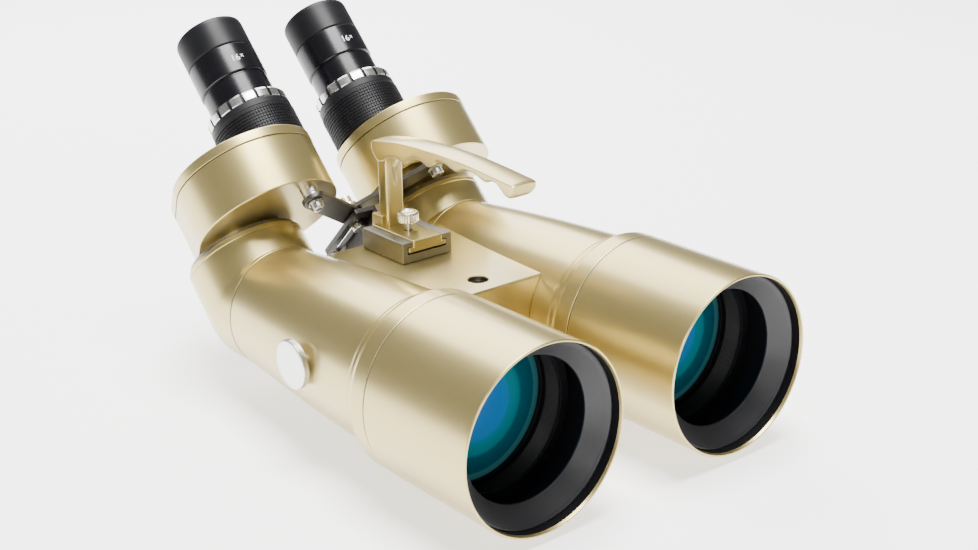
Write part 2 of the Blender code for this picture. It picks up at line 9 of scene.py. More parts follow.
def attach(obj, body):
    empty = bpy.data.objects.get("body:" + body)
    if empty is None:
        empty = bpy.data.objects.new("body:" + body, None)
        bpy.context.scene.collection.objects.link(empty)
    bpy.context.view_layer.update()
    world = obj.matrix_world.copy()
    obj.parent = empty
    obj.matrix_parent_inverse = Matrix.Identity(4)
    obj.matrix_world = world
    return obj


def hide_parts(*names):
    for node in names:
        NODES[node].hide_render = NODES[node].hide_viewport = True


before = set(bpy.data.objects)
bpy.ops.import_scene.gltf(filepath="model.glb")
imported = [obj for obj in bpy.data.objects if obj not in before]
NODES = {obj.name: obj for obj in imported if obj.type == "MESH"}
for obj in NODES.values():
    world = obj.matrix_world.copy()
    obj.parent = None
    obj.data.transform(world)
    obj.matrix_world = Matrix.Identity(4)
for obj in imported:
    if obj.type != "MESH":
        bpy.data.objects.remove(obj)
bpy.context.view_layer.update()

MM = 0.001
AXIS_H, FRONT_Y, HALF = 52.0, -160.0, 64.0
BEND = radians(45)
E = Vector((0, cos(BEND), sin(BEND)))
ELBOW_M = 237.0


# ================================================================ materials
def principled(name, color, rough, metal, **kw):
    m = bpy.data.materials.new(name)
    m.use_nodes = True
    nt = m.node_tree
    b = nt.nodes["Principled BSDF"]
    b.inputs["Base Color"].default_value = (*color, 1)
    b.inputs["Roughness"].default_value = rough
    b.inputs["Metallic"].default_value = metal
    for k, v in kw.items():
        b.inputs[k].default_value = v
    return m, nt, b


def noise(nt, scale, detail=2.0, rough=0.5, vec=None, dist=0.0):
    n = nt.nodes.new("ShaderNodeTexNoise")
    n.inputs["Scale"].default_value = scale
    n.inputs["Detail"].default_value = detail
    n.inputs["Roughness"].default_value = rough
    n.inputs["Distortion"].default_value = dist
    if vec is not None:
        nt.links.new(vec, n.inputs["Vector"])
    return n


def objco(nt):
    return nt.nodes.new("ShaderNodeTexCoord").outputs["Object"]


def ramp(nt, src, stops):
    r = nt.nodes.new("ShaderNodeValToRGB")
    while len(r.color_ramp.elements) > 1:
        r.color_ramp.elements.remove(r.color_ramp.elements[-1])
    for i, (p, c) in enumerate(stops):
        el = r.color_ramp.elements[0] if i == 0 else r.color_ramp.elements.new(p)
        el.position = p
        el.color = (*c, 1) if len(c) == 3 else c
    nt.links.new(src, r.inputs["Fac"])
    return r


def bump(nt, b, src, strength, dist, normal=None):
    n = nt.nodes.new("ShaderNodeBump")
    n.inputs["Strength"].default_value = strength
    n.inputs["Distance"].default_value = dist
    nt.links.new(src, n.inputs["Height"])
    if normal is not None:
        nt.links.new(normal, n.inputs["Normal"])
    nt.links.new(n.outputs["Normal"], b.inputs["Normal"])
    return n


def rangemap(nt, src, a, b, c, d):
    m = nt.nodes.new("ShaderNodeMapRange")
    for k, v in zip(("From Min", "From Max", "To Min", "To Max"), (a, b, c, d)):
        m.inputs[k].default_value = v
    nt.links.new(src, m.inputs["Value"])
    return m.outputs["Result"]


def gold_paint():
    m, nt, b = principled("gold_paint", (0.57, 0.462, 0.19), 0.31, 0.91)
    b.inputs["Coat Weight"].default_value = 0.35
    b.inputs["Coat Roughness"].default_value = 0.12
    co = objco(nt)
    flake = noise(nt, 2600.0, 2.0, 0.6, co)
    cloud = noise(nt, 14.0, 3.0, 0.5, co)
    mix = nt.nodes.new("ShaderNodeMath")
    mix.operation = "MULTIPLY_ADD"
    nt.links.new(flake.outputs["Fac"], mix.inputs[0])
    mix.inputs[1].default_value = 0.55
    c2 = rangemap(nt, cloud.outputs["Fac"], 0.3, 0.7, 0.20, 0.25)
    nt.links.new(c2, mix.inputs[2])
    r = ramp(nt, mix.outputs[0], [(0.18, (0.510, 0.405, 0.155)), (0.5, (0.575, 0.466, 0.190)), (0.82, (0.650, 0.540, 0.240))])
    nt.links.new(r.outputs["Color"], b.inputs["Base Color"])
    nt.links.new(rangemap(nt, cloud.outputs["Fac"], 0.3, 0.7, 0.30, 0.325), b.inputs["Roughness"])
    peel = noise(nt, 420.0, 2.0, 0.5, co)
    bump(nt, b, peel.outputs["Fac"], 0.03, 0.0002)
    return m


def metal(name, color, rough, streak=(1, 1, 1), scale=900.0, amount=0.10, b_str=0.05):
    m, nt, b = principled(name, color, rough, 1.0)
    co = objco(nt)
    mp = nt.nodes.new("ShaderNodeMapping")
    mp.inputs["Scale"].default_value = streak
    nt.links.new(co, mp.inputs["Vector"])
    n = noise(nt, scale, 3.0, 0.55, mp.outputs["Vector"])
    lo = tuple(max(0.0, c * (1 - amount)) for c in color)
    hi = tuple(min(1.0, c * (1 + amount)) for c in color)
    r = ramp(nt, n.outputs["Fac"], [(0.3, lo), (0.7, hi)])
    nt.links.new(r.outputs["Color"], b.inputs["Base Color"])
    nt.links.new(rangemap(nt, n.outputs["Fac"], 0.3, 0.7, rough * 0.85, rough * 1.2), b.inputs["Roughness"])
    bump(nt, b, n.outputs["Fac"], b_str, 0.0002)
    return m


def dark(name, color, rough, grain=900.0, amount=0.25, b_str=0.15, **kw):
    m, nt, b = principled(name, color, rough, 0.0, **kw)
    co = objco(nt)
    n = noise(nt, grain, 3.0, 0.6, co)
    big = noise(nt, 40.0, 2.0, 0.5, co)
    lo = tuple(c * (1 - amount) for c in color)
    hi = tuple(c * (1 + amount) for c in color)
    r = ramp(nt, n.outputs["Fac"], [(0.3, lo), (0.7, hi)])
    nt.links.new(r.outputs["Color"], b.inputs["Base Color"])
    nt.links.new(rangemap(nt, big.outputs["Fac"], 0.3, 0.7, rough * 0.9, rough * 1.12), b.inputs["Roughness"])
    bump(nt, b, n.outputs["Fac"], b_str, 0.0002)
    return m


def coated(name, c_in, c_out, rough=0.04, alpha=1.0, metallic=1.0):
    """A lens face whose anti-reflection layer shifts a little over the glass."""
    m, nt, b = principled(name, c_in, rough, metallic)
    b.inputs["Alpha"].default_value = alpha
    co = objco(nt)
    n = noise(nt, 22.0, 1.0, 0.4, co)
    r = ramp(nt, n.outputs["Fac"], [(0.35, c_in), (0.65, c_out)])
    nt.links.new(r.outputs["Color"], b.inputs["Base Color"])
    return m


M_GOLD = gold_paint()
M_STUD = metal("stud_steel", (0.50, 0.49, 0.47), 0.27, scale=4500.0, amount=0.04, b_str=0.0)
M_STEEL = metal("turned_steel", (0.22, 0.215, 0.20), 0.32)
M_BRIGHT = metal("bright_nickel", (0.80, 0.79, 0.77), 0.24, scale=4500.0, amount=0.03, b_str=0.0)
M_SATIN = metal("satin_nickel_face", (0.83, 0.82, 0.80), 0.38, scale=1500.0, amount=0.04)
M_ANOD = metal("grey_anodised", (0.29, 0.28, 0.255), 0.38, streak=(1, 0.12, 1), scale=1300.0, amount=0.10)
# painted shade: the bracket under the barrels is made near black, far darker than its grey anodised finish
M_BRACKET_SHADED = metal("bracket_steel_shaded", (0.050, 0.047, 0.043), 0.46, scale=1300.0, amount=0.12)
M_LEVER = metal("lever_steel", (0.085, 0.081, 0.072), 0.42, streak=(0.15, 1, 1), scale=1300.0, amount=0.12)
M_RUBBER = dark("moulded_rubber", (0.0045, 0.0045, 0.006), 0.46, grain=1400.0, b_str=0.08)
M_RUBBER.node_tree.nodes["Principled BSDF"].inputs["Specular IOR Level"].default_value = 0.30
M_CUP = dark("eyecup_rubber", (0.0045, 0.0045, 0.006), 0.44, grain=1800.0, b_str=0.05)
M_CUP.node_tree.nodes["Principled BSDF"].inputs["Specular IOR Level"].default_value = 0.25
M_GLOSS = dark("black_anodised_gloss", (0.0025, 0.0025, 0.004), 0.25, grain=1500.0, b_str=0.0)
M_GLOSS.node_tree.nodes["Principled BSDF"].inputs["Specular IOR Level"].default_value = 0.45
M_BLACK = dark("inner_black", (0.003, 0.003, 0.004), 0.5, grain=900.0, b_str=0.0)
M_BLACK.node_tree.nodes["Principled BSDF"].inputs["Specular IOR Level"].default_value = 0.22
M_BAFFLE = dark("baffle_grey", (0.0085, 0.0085, 0.0105), 0.44, grain=1200.0, b_str=0.03)
# painted shade: near-black finish for the slot faces of the lock ring
M_SLOT_SHADE = dark("slot_painted_shade", (0.006, 0.006, 0.006), 0.6)
M_WHITE = dark("white_ink", (0.80, 0.80, 0.80), 0.5, amount=0.03, b_str=0.02)
# painted shadow: a dark brown finish for bands laid into the seams, standing for the shade in the gaps
M_SEAM_SHADE = dark("seam_shadow", (0.040, 0.030, 0.014), 0.6, amount=0.1, b_str=0.0)


def lens_front(sx):
    """Objective face: painted reflection, blue in the middle and teal rings towards the edge with a darker outer
    band, set in the colour by radius and made to glow by emission.
    """
    m, nt, b = principled("objective_painted_reflection_" + ("r" if sx < 0 else "l"), (0.01, 0.12, 0.16), 0.30, 0.0)
    b.inputs["Coat Weight"].default_value = 0.35
    b.inputs["Coat Roughness"].default_value = 0.03
    b.inputs["Specular IOR Level"].default_value = 0.15
    co = objco(nt)
    mp = nt.nodes.new("ShaderNodeMapping")
    mp.inputs["Location"].default_value = (-sx * 0.064, 0.0, -0.052)
    nt.links.new(co, mp.inputs["Vector"])
    mp2 = nt.nodes.new("ShaderNodeMapping")
    mp2.inputs["Scale"].default_value = (1.0, 0.0, 1.0)
    nt.links.new(mp.outputs["Vector"], mp2.inputs["Vector"])
    ln = nt.nodes.new("ShaderNodeVectorMath")
    ln.operation = "LENGTH"
    nt.links.new(mp2.outputs["Vector"], ln.inputs[0])
    fac = rangemap(nt, ln.outputs["Value"], 0.0, 0.0403, 0.0, 1.0)
    # painted reflection: colour rings by radius from the lens centre, darker towards the rim
    r = ramp(nt, fac, [(0.0, (0.005, 0.062, 0.200)), (0.42, (0.006, 0.078, 0.190)), (0.49, (0.000, 0.085, 0.110)),
                       (0.62, (0.000, 0.078, 0.094)), (0.67, (0.000, 0.036, 0.050)), (0.87, (0.000, 0.026, 0.038)),
                       (0.90, (0.012, 0.060, 0.066)), (0.97, (0.008, 0.040, 0.045)), (1.0, (0.003, 0.012, 0.015))])
    nt.links.new(r.outputs["Color"], b.inputs["Base Color"])
    # the painted reflection also glows by emission, though the lens is no lamp
    nt.links.new(r.outputs["Color"], b.inputs["Emission Color"])
    b.inputs["Emission Strength"].default_value = 1.0
    return m


M_LENS = {"right": lens_front(-1.0), "left": lens_front(1.0)}
M_LENS2 = coated("inner_coating", (0.02, 0.16, 0.42), (0.02, 0.30, 0.46), rough=0.06)
M_EYELENS = coated("eye_lens_coating", (0.10, 0.20, 0.38), (0.16, 0.12, 0.36), rough=0.05)
M_PRISM = coated("prism_glass", (0.55, 0.62, 0.62), (0.60, 0.66, 0.66), rough=0.05, metallic=0.0)
M_FILTER = coated("filter_glass", (0.06, 0.26, 0.14), (0.08, 0.30, 0.17), rough=0.05, metallic=0.0)


# ============================================================ mesh functions
def place(origin, zdir, xdir=(1, 0, 0)):
    z = Vector(zdir).normalized()
    x = (Vector(xdir) - Vector(xdir).dot(z) * z).normalized()
    y = z.cross(x)
    m = Matrix((x, y, z)).transposed().to_4x4()
    m.translation = Vector(origin)
    return m


SHOP = Matrix.Translation(Vector((0, FRONT_Y, AXIS_H)))


def finish_piece(name, bm, M, mat, smooth=True, weighted=True, angle=50.0):
    bm.transform(Matrix.Scale(MM, 4) @ M)
    bmesh.ops.remove_doubles(bm, verts=bm.verts, dist=1e-7)
    bmesh.ops.recalc_face_normals(bm, faces=bm.faces)
    me = bpy.data.meshes.new(name)
    bm.to_mesh(me)
    bm.free()
    if smooth:
        me.shade_smooth()
        me.set_sharp_from_angle(angle=radians(angle))
    ob = bpy.data.objects.new(name, me)
    bpy.context.scene.collection.objects.link(ob)
    if mat is not None:
        for x in (mat if isinstance(mat, (list, tuple)) else [mat]):
            me.materials.append(x)
    if weighted and smooth:
        w = ob.modifiers.new("wn", "WEIGHTED_NORMAL")
        w.keep_sharp = True
        w.weight = 60
    return ob


def soft(profile, rad=0.25, n=3, closed=True):
    """Round each corner of a profile. A point may carry its own radius."""
    pts = [(p[0], p[1]) for p in profile]
    rads = [(p[2] if len(p) > 2 else rad) for p in profile]
    out = []
    N = len(pts)
    for i in range(N):
        if (not closed and i in (0, N - 1)) or rads[i] <= 0:
            out.append(pts[i])
            continue
        p = Vector(pts[i])
        a = Vector(pts[(i - 1) % N]) - p
        c = Vector(pts[(i + 1) % N]) - p
        la, lc = a.length, c.length
        if la < 1e-6 or lc < 1e-6:
            continue
        ang = a.angle(c)
        if ang > radians(172):
            out.append(pts[i])
            continue
        t = min(rads[i] / max(tan(ang / 2), 1e-3), la * 0.45, lc * 0.45)
        p0, p1 = p + a / la * t, p + c / lc * t
        for k in range(n + 1):
            s = k / n
            q = p0 * (1 - s) ** 2 + p * 2 * s * (1 - s) + p1 * s * s
            out.append((q.x, q.y))
    return out


def ring_mesh(profile, seg, rfun=None, steps=None):
    """Closed ring or axis-to-axis body from a profile of (r, z); rfun(a, r, z) may shape r."""
    bm = bmesh.new()
    angs = steps or [2 * pi * i / seg for i in range(seg)]
    n = len(profile)
    open_ends = abs(profile[0][0]) < 1e-9 and abs(profile[-1][0]) < 1e-9
    cols = []
    top = bottom = None
    if open_ends:
        top = bm.verts.new((0, 0, profile[0][1]))
        bottom = bm.verts.new((0, 0, profile[-1][1]))
    for a in angs:
        col = []
        for i, (r, z) in enumerate(profile):
            if open_ends and i in (0, n - 1):
                col.append(top if i == 0 else bottom)
                continue
            rr = rfun(a, r, z) if rfun else r
            col.append(bm.verts.new((rr * cos(a), rr * sin(a), z)))
        cols.append(col)
    m = len(angs)
    for i in range(m):
        A, B = cols[i], cols[(i + 1) % m]
        for k in range(n - 1 if open_ends else n):
            k2 = (k + 1) % n
            vs = [A[k], A[k2], B[k2], B[k]]
            uniq = []
            for v in vs:
                if v not in uniq:
                    uniq.append(v)
            if len(uniq) > 2:
                bm.faces.new(uniq)
    return bm


def turned(name, profile, seg, mat, M, rad=0.25, n=3, rfun=None, steps=None, centre=(0, 0), angle=50.0):
    open_ends = abs(profile[0][0]) < 1e-9 and abs(profile[-1][0]) < 1e-9
    p = soft(profile, rad, n, closed=not open_ends)
    bm = ring_mesh(p, seg, rfun, steps)
    bmesh.ops.translate(bm, verts=bm.verts, vec=(centre[0], centre[1], 0))
    return finish_piece(name, bm, M, mat, angle=angle)


def dome(r, z_edge, z_mid, n):
    sag = z_mid - z_edge
    rad = (r * r + sag * sag) / (2 * abs(sag))
    sgn = 1 if sag > 0 else -1
    out = []
    for i in range(n + 1):
        rr = r * (1 - i / n)
        out.append((rr, z_mid - sgn * (rad - sqrt(rad * rad - rr * rr)), 0))
    out[-1] = (0.0, z_mid, 0)
    return out


def prism_stack(name, loops, M, mat, **kw):
    """Closed solid through a stack of equal-count outlines of (x, y, z)."""
    bm = bmesh.new()
    rings = [[bm.verts.new(p) for p in lp] for lp in loops]
    n = len(rings[0])
    for a, b in zip(rings, rings[1:]):
        for i in range(n):
            j = (i + 1) % n
            bm.faces.new((a[i], a[j], b[j], b[i]))
    bm.faces.new(rings[0][::-1])
    bm.faces.new(rings[-1])
    return finish_piece(name, bm, M, mat, **kw)


def edge_steps(z0, z1, r0, r1, n=4):
    """(inset, z) pairs for a wall from z0 to z1 with rounded edges of r0 and r1."""
    out = []
    for k in range(n + 1):
        t = pi / 2 * k / n
        out.append((r0 * (1 - sin(t)), z0 + r0 * (1 - cos(t))))
    for k in range(n + 1):
        t = pi / 2 * k / n
        out.append((r1 * (1 - cos(t)), z1 - r1 * (1 - sin(t))))
    return out


def hull_outline(c1, r1, c2, r2, n):
    cx, cy = (0.65 * c1[0] + 0.35 * c2[0]), (0.65 * c1[1] + 0.35 * c2[1])
    pts = []
    for i in range(n):
        a = 2 * pi * i / n
        dx, dy = cos(a), sin(a)
        best = 0.0
        for k in range(61):
            t = k / 60.0
            qx, qy = c1[0] + (c2[0] - c1[0]) * t - cx, c1[1] + (c2[1] - c1[1]) * t - cy
            r = r1 + (r2 - r1) * t
            b = qx * dx + qy * dy
            disc = b * b - (qx * qx + qy * qy) + r * r
            if disc >= 0:
                best = max(best, b + sqrt(disc))
        pts.append((cx + best * dx, cy + best * dy))
    return pts


def circle(cx, cy, r, n, start=0.0):
    return [(cx + r * cos(start + 2 * pi * i / n), cy + r * sin(start + 2 * pi * i / n)) for i in range(n)]


def capsule(p, q, r, n=14):
    a = atan2(q[1] - p[1], q[0] - p[0])
    out = []
    for c, a0 in ((q, a - pi / 2), (p, a + pi / 2)):
        for i in range(n + 1):
            t = a0 + pi * i / n
            out.append((c[0] + r * cos(t), c[1] + r * sin(t)))
    return out


def inset(outline, d):
    """Move a closed counter-clockwise outline inwards by d."""
    n = len(outline)
    out = []
    for i in range(n):
        p0, p, p1 = Vector(outline[i - 1]), Vector(outline[i]), Vector(outline[(i + 1) % n])
        e0, e1 = (p - p0), (p1 - p)
        if e0.length < 1e-9 or e1.length < 1e-9:
            out.append((p.x, p.y))
            continue
        n0 = Vector((-e0.y, e0.x)).normalized()
        n1 = Vector((-e1.y, e1.x)).normalized()
        b = n0 + n1
        if b.length < 1e-6:
            b = n0
        b.normalize()
        k = d / max(b.dot(n0), 0.35)
        out.append((p.x + b.x * k, p.y + b.y * k))
    return out


def ccw(outline):
    a = sum(outline[i][0] * outline[(i + 1) % len(outline)][1] - outline[(i + 1) % len(outline)][0] * outline[i][1]
            for i in range(len(outline)))
    return outline if a > 0 else outline[::-1]


def slab(name, outline, z0, z1, M, mat, r0=0.4, r1=0.4, n=3, **kw):
    """Extruded outline with rounded top and bottom edges."""
    o = ccw(outline)
    loops = [[(x, y, z) for x, y in inset(o, i)] for i, z in edge_steps(z0, z1, r0, r1, n)]
    return prism_stack(name, loops, M, mat, **kw)


def slab_poly(name, poly, rads, z0, z1, M, mat, r0=0.4, r1=0.4, n=3, cn=4, **kw):
    """Extruded polygon; every corner keeps its own radius while the end edges round over."""
    area2 = sum(poly[i][0] * poly[(i + 1) % len(poly)][1] - poly[(i + 1) % len(poly)][0] * poly[i][1]
                for i in range(len(poly)))
    if area2 < 0:
        poly, rads = poly[::-1], rads[::-1]
    N = len(poly)
    convex = []
    for i in range(N):
        a, b, c = Vector(poly[i - 1]), Vector(poly[i]), Vector(poly[(i + 1) % N])
        convex.append((b - a).x * (c - b).y - (b - a).y * (c - b).x > 0)
    loops = []
    for d, z in edge_steps(z0, z1, r0, r1, n):
        q = []
        for i in range(N):
            a, b, c = Vector(poly[i - 1]), Vector(poly[i]), Vector(poly[(i + 1) % N])
            e0, e1 = (b - a).normalized(), (c - b).normalized()
            n0, n1 = Vector((-e0.y, e0.x)), Vector((-e1.y, e1.x))
            bis = n0 + n1
            k = d * 2.0 / max(bis.length_squared, 0.15)
            q.append((b.x + bis.x * k, b.y + bis.y * k, max(rads[i] - d, 0.03) if convex[i] else rads[i] + d))
        lp = []
        for i in range(N):
            p, pa, pc = Vector(q[i][:2]), Vector(q[i - 1][:2]), Vector(q[(i + 1) % N][:2])
            va, vc = pa - p, pc - p
            ang = va.angle(vc)
            t = min(q[i][2] / max(tan(ang / 2), 1e-3), va.length * 0.45, vc.length * 0.45)
            p0, p1 = p + va.normalized() * t, p + vc.normalized() * t
            for j in range(cn + 1):
                u = j / cn
                w = p0 * (1 - u) ** 2 + p * 2 * u * (1 - u) + p1 * u * u
                lp.append((w.x, w.y, z))
        loops.append(lp)
    return prism_stack(name, loops, M, mat, **kw)


def cut(ob, tool, op="DIFFERENCE"):
    """Boolean, applied; the tool is removed."""
    for o in (ob, tool):
        for mo in list(o.modifiers):
            o.modifiers.remove(mo)
    m = ob.modifiers.new("b", "BOOLEAN")
    m.operation = op
    m.solver = "EXACT"
    m.object = tool
    dg = bpy.context.evaluated_depsgraph_get()
    me = bpy.data.meshes.new_from_object(ob.evaluated_get(dg))
    ob.modifiers.clear()
    ob.data = me
    bpy.data.objects.remove(tool, do_unlink=True)
    return ob


def resmooth(ob, angle=40.0):
    ob.data.shade_smooth()
    ob.data.set_sharp_from_angle(angle=radians(angle))
    if not any(m.type == "WEIGHTED_NORMAL" for m in ob.modifiers):
        w = ob.modifiers.new("wn", "WEIGHTED_NORMAL")
        w.keep_sharp = True
        w.weight = 60
    return ob


def paint_inside(ob, M, rmax, mat, z0=-1e9, z1=1e9):
    """Give the faces inside a radius, or between two heights, a second finish."""
    ob.data.materials.append(mat)
    k = len(ob.data.materials) - 1
    inv = M.inverted()
    for f in ob.data.polygons:
        c = inv @ (f.center / MM)
        n = inv.to_3x3() @ f.normal
        if hypot(c.x, c.y) < rmax and z0 < c.z < z1 and n.x * c.x + n.y * c.y < 0.3 * hypot(c.x, c.y):
            f.material_index = k
    return ob


def done(ob, body, slot, *nodes):
    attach(ob, body)
    if nodes:
        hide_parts(*nodes)
    return ob


def barrel_r(y):
    t = min(max((y - 100.0) / 121.2, 0.0), 1.0)
    return 42.6 + (34.3 - 42.6) * t + 0.9 * sin(pi * t)


# ================================================================ one side
def side(S):
    sx = -1.0 if S == "right" else 1.0
    inb = -sx
    P = S + "_"
    BM = place((sx * HALF, FRONT_Y, AXIS_H), (0, 1, 0))
    TM = place((sx * HALF, FRONT_Y + ELBOW_M, AXIS_H), E)

    def tl(p):
        return (inb * p[0], -p[1])

    ex, ey = tl((27.2, 25.7))
    EM = TM @ Matrix.Translation((ex, ey, 0))

    # ---- hood
    hi = 46.3
    shell = turned(P + "hood_shell", [(hi, 1.6, 0.3), (46.9, 0.0, 0.5), (47.6, 0.0, 0.5), (48.0, 0.6, 0.3),
                                      (48.0, 76.7, 0.3), (47.6, 77.3, 0.1), (hi, 77.3, 0.1)], 144, M_GOLD, BM)
    paint_inside(shell, BM, 46.45, M_BLACK, z0=1.5)
    done(shell, P + "hood", "gold_paint", P + "hood")
    hring = (turned(P + "hood_rear_ring", [(43.75, 70.0), (46.0, 70.0), (46.0, 77.6, 0), (47.4, 77.6, 0.1), (47.85, 78.2, 0.3),
                                       (47.85, 87.6, 2.2), (47.0, 90.4, 1.4), (45.0, 91.6, 0.8), (43.75, 91.6, 0.2)],
                144, M_GOLD, BM, n=5))
    paint_inside(hring, BM, 44.2, M_BLACK)
    done(hring, P + "hood", "gold_paint", P + "hood_ring")
    # painted shadow: a dark band in the joint between the hood shell and its rear ring
    done(turned(P + "hood_seam_shadow", [(46.6, 77.1), (47.72, 77.1, 0.1), (47.72, 77.85, 0.1), (46.6, 77.85)], 144,
                M_SEAM_SHADE, BM), P + "hood", "black_paint")
    # front baffle: ribbed cone inside the mouth
    cone = [(46.0, 6.0, 0.1), (46.0, 17.0, 0.1), (37.2, 16.2, 0.2), (36.4, 15.6, 0.2), (36.4, 14.8, 0.15)]
    for k in range(1, 22):
        t = k / 22.0
        r, z = 36.6 + (45.0 - 36.6) * t, 14.6 + (6.1 - 14.6) * t
        d = 0.16 if (k % 2) else -0.10
        if t > 0.93:
            d = 0
        cone.append((r - d * 0.7, z - d * 0.7, 0))
    cone.append((45.2, 6.0, 0.1))
    done(turned(P + "hood_cone", cone, 112, M_BAFFLE, BM, angle=60), P + "hood", "grey_baffle", P + "hood_baffle")

    # ---- objective cell with ribbed wall, retainer and lens
    cell = [(38.3, 34.0, 0.2), (43.2, 34.0, 0.2), (43.2, 47.7, 0.1), (41.7, 47.7, 0.1), (41.7, 67.5), (38.8, 67.5),
            (38.8, 65.6), (40.6, 65.6)]
    for k in range(10):
        z = 47.6 - k * 1.2
        cell += [(40.6, z, 0.05), (40.0, z - 0.5, 0.05)]
    cell += [(40.4, 35.6, 0.1), (38.3, 35.6, 0.15)]
    done(turned(P + "cell_ribbed", cell, 96, M_BLACK, BM, angle=60), "frame", "black_paint", P + "objective_cell")
    done(turned(P + "retainer_slotted", [(39.0, 49.6, 0.15), (40.3, 49.6, 0.15), (40.3, 51.95), (39.0, 51.6)], 96,
                M_BLACK, BM), "frame", "black_paint", P + "objective_retainer")
    crown = dome(40.3, 52.3, 48.6, 20)
    mid_f = dome(40.3, 56.8, 60.2, 16)[::-1]
    done(turned(P + "objective_front", mid_f + crown, 96, M_LENS[S], BM, rad=0), "frame", "coated_glass",
         P + "objective_doublet")
    rear = dome(40.3, 57.1, 60.4, 16)
    back = dome(40.3, 65.2, 64.2, 8)[::-1]
    done(turned(P + "objective_rear", back + rear, 96, M_LENS2, BM, rad=0), "frame", "coated_glass")

    # ---- barrel
    ys = [100.0 + 121.2 * k / 16.0 for k in range(17)]
    outer = [(43.4, 48.0, 0.2), (43.4, 96.5, 1.0), (42.75, 98.4, 1.0)] + [(barrel_r(y), y, 0) for y in ys[:-1]]
    outer += [(barrel_r(221.2), 220.9, 0.2), (barrel_r(221.2) - 0.25, 221.2, 0.1)]
    inner = [(31.8, 221.2, 0.1), (barrel_r(197) - 2.5, 197.0, 0), (barrel_r(160) - 2.5, 160.0, 0),
             (barrel_r(124) - 2.5, 124.0, 0), (39.9, 104.0, 0), (40.2, 98.0), (40.2, 68.2), (42.0, 68.2), (42.0, 48.0, 0.1)]
    barrel = turned(P + "barrel_skin", outer + inner, 128, M_GOLD, BM)
    FM = place((sx * HALF, FRONT_Y + 144.0, AXIS_H + 3.7), (sx, 0, 0), (0, 1, 0))
    drill = turned("t", [(0, 30.0, 0), (3.6, 30.0, 0), (3.6, 46.0, 0), (0, 46.0, 0)], 32, None, FM)
    cut(barrel, drill)
    barrel.data.materials.clear()
    barrel.data.materials.append(M_GOLD)
    resmooth(barrel, 35)
    paint_inside(barrel, BM, 42.2, M_BLACK, z0=47.0, z1=69.0)
    paint_inside(barrel, BM, 40.5, M_BLACK, z0=60.0, z1=125.0)
    done(barrel, "frame", "gold_paint", P + "barrel")
    rs = barrel_r(221.2)
    # painted shadow: a dark band in the joint between barrel and elbow
    done(turned(P + "elbow_seam_shadow", [(rs - 1.0, 220.9), (rs - 0.06, 220.9, 0.1), (rs - 0.06, 221.45, 0.1), (rs - 1.0, 221.45)],
                128, M_SEAM_SHADE, BM), "frame", "black_paint")

    # ---- filter knob with a knurled rim
    def knurl_rim(a, r, z):
        if r > 12.4 and 42.5 < z < 45.35:
            return r - 0.14 * (0.5 + 0.5 * sin(66 * a + 5.2 * z)) - 0.14 * (0.5 + 0.5 * sin(66 * a - 5.2 * z))
        return r
    rim = [(13.0, 42.8 + 2.2 * k / 7.0, 0) for k in range(8)]
    prof = [(0, 31.2, 0), (3.1, 31.2, 0.3), (3.1, 41.4, 0.2), (6.0, 41.4, 0.2), (6.0, 42.2, 0.1), (12.2, 42.2, 0.3),
            (12.9, 42.5, 0)] + rim + [(12.9, 45.35, 0), (12.2, 45.68, 0.25), (11.6, 45.7, 0.1), (11.45, 45.58, 0.05),
                                      (11.3, 45.7, 0.1), (0, 45.7, 0)]
    knob = turned(P + "knurled_knob", prof, 360, M_SATIN, FM, rfun=knurl_rim, n=2, angle=75)
    knob.data.materials.append(M_STUD)
    for f in knob.data.polygons:
        if abs(f.normal.x) < 0.6:
            f.material_index = 1
    done(knob, P + "filter", "bright_steel", P + "filter_knob")

    # ---- elbow
    bm = bmesh.new()
    nr, steps = 128, 14
    for r in (34.6, 32.0):
        pass
    stacks = []
    for r, outer_wall in ((34.6, True), (32.0, False)):
        lines = []
        for i in range(nr):
            a = 2 * pi * i / nr
            h, w = r * cos(a), r * sin(a)
            fil = 1.0 + 26.0 * (0.5 + 0.5 * h / r) ** 1.6
            t = tan(BEND / 2)
            d1, m1 = Vector((0, 1, 0)), Vector((0, 0, -1))
            corner = Vector((0, ELBOW_M, 0)) + m1 * h + d1 * (h * t)
            cen = corner - d1 * (fil * t) - m1 * fil
            pts = []
            start = 221.5
            if outer_wall:
                k0 = (r - 0.25) / r
                pts.append(Vector((w * k0, start, 0)) + m1 * h * k0)
                pts.append(Vector((w, start + 0.28, 0)) + m1 * h)
            else:
                pts.append(Vector((w, start, 0)) + m1 * h)
            for k in range(steps + 1):
                q = cen + (m1 * cos(BEND * k / steps) + d1 * sin(BEND * k / steps)) * fil
                pts.append(Vector((w, max(q.y, start + 0.3) if k == 0 else q.y, q.z)))
            m2 = Vector((0, cos(BEND), -sin(BEND)))
            top = Vector((0, ELBOW_M, 0)) + E * 28.0
            if outer_wall:
                pts.append(top - E * 0.28 + m2 * h + Vector((w, 0, 0)))
                k0 = (r - 0.25) / r
                pts.append(top + m2 * h * k0 + Vector((w * k0, 0, 0)))
            else:
                pts.append(top + m2 * h + Vector((w, 0, 0)))
            lines.append([bm.verts.new(Vector((p.x + sx * HALF, p.y, p.z))) for p in pts])
        stacks.append(lines)
        rows = len(lines[0])
        for i in range(nr):
            j = (i + 1) % nr
            for k in range(rows - 1):
                bm.faces.new((lines[i][k], lines[j][k], lines[j][k + 1], lines[i][k + 1]))
    for k in (0, -1):
        for i in range(nr):
            j = (i + 1) % nr
            o, q = stacks
            bm.faces.new((o[i][k], o[j][k], q[j][k], q[i][k]))
    done(finish_piece(P + "elbow_casting", bm, SHOP, M_GOLD, angle=40), "frame", "gold_paint", P + "elbow")

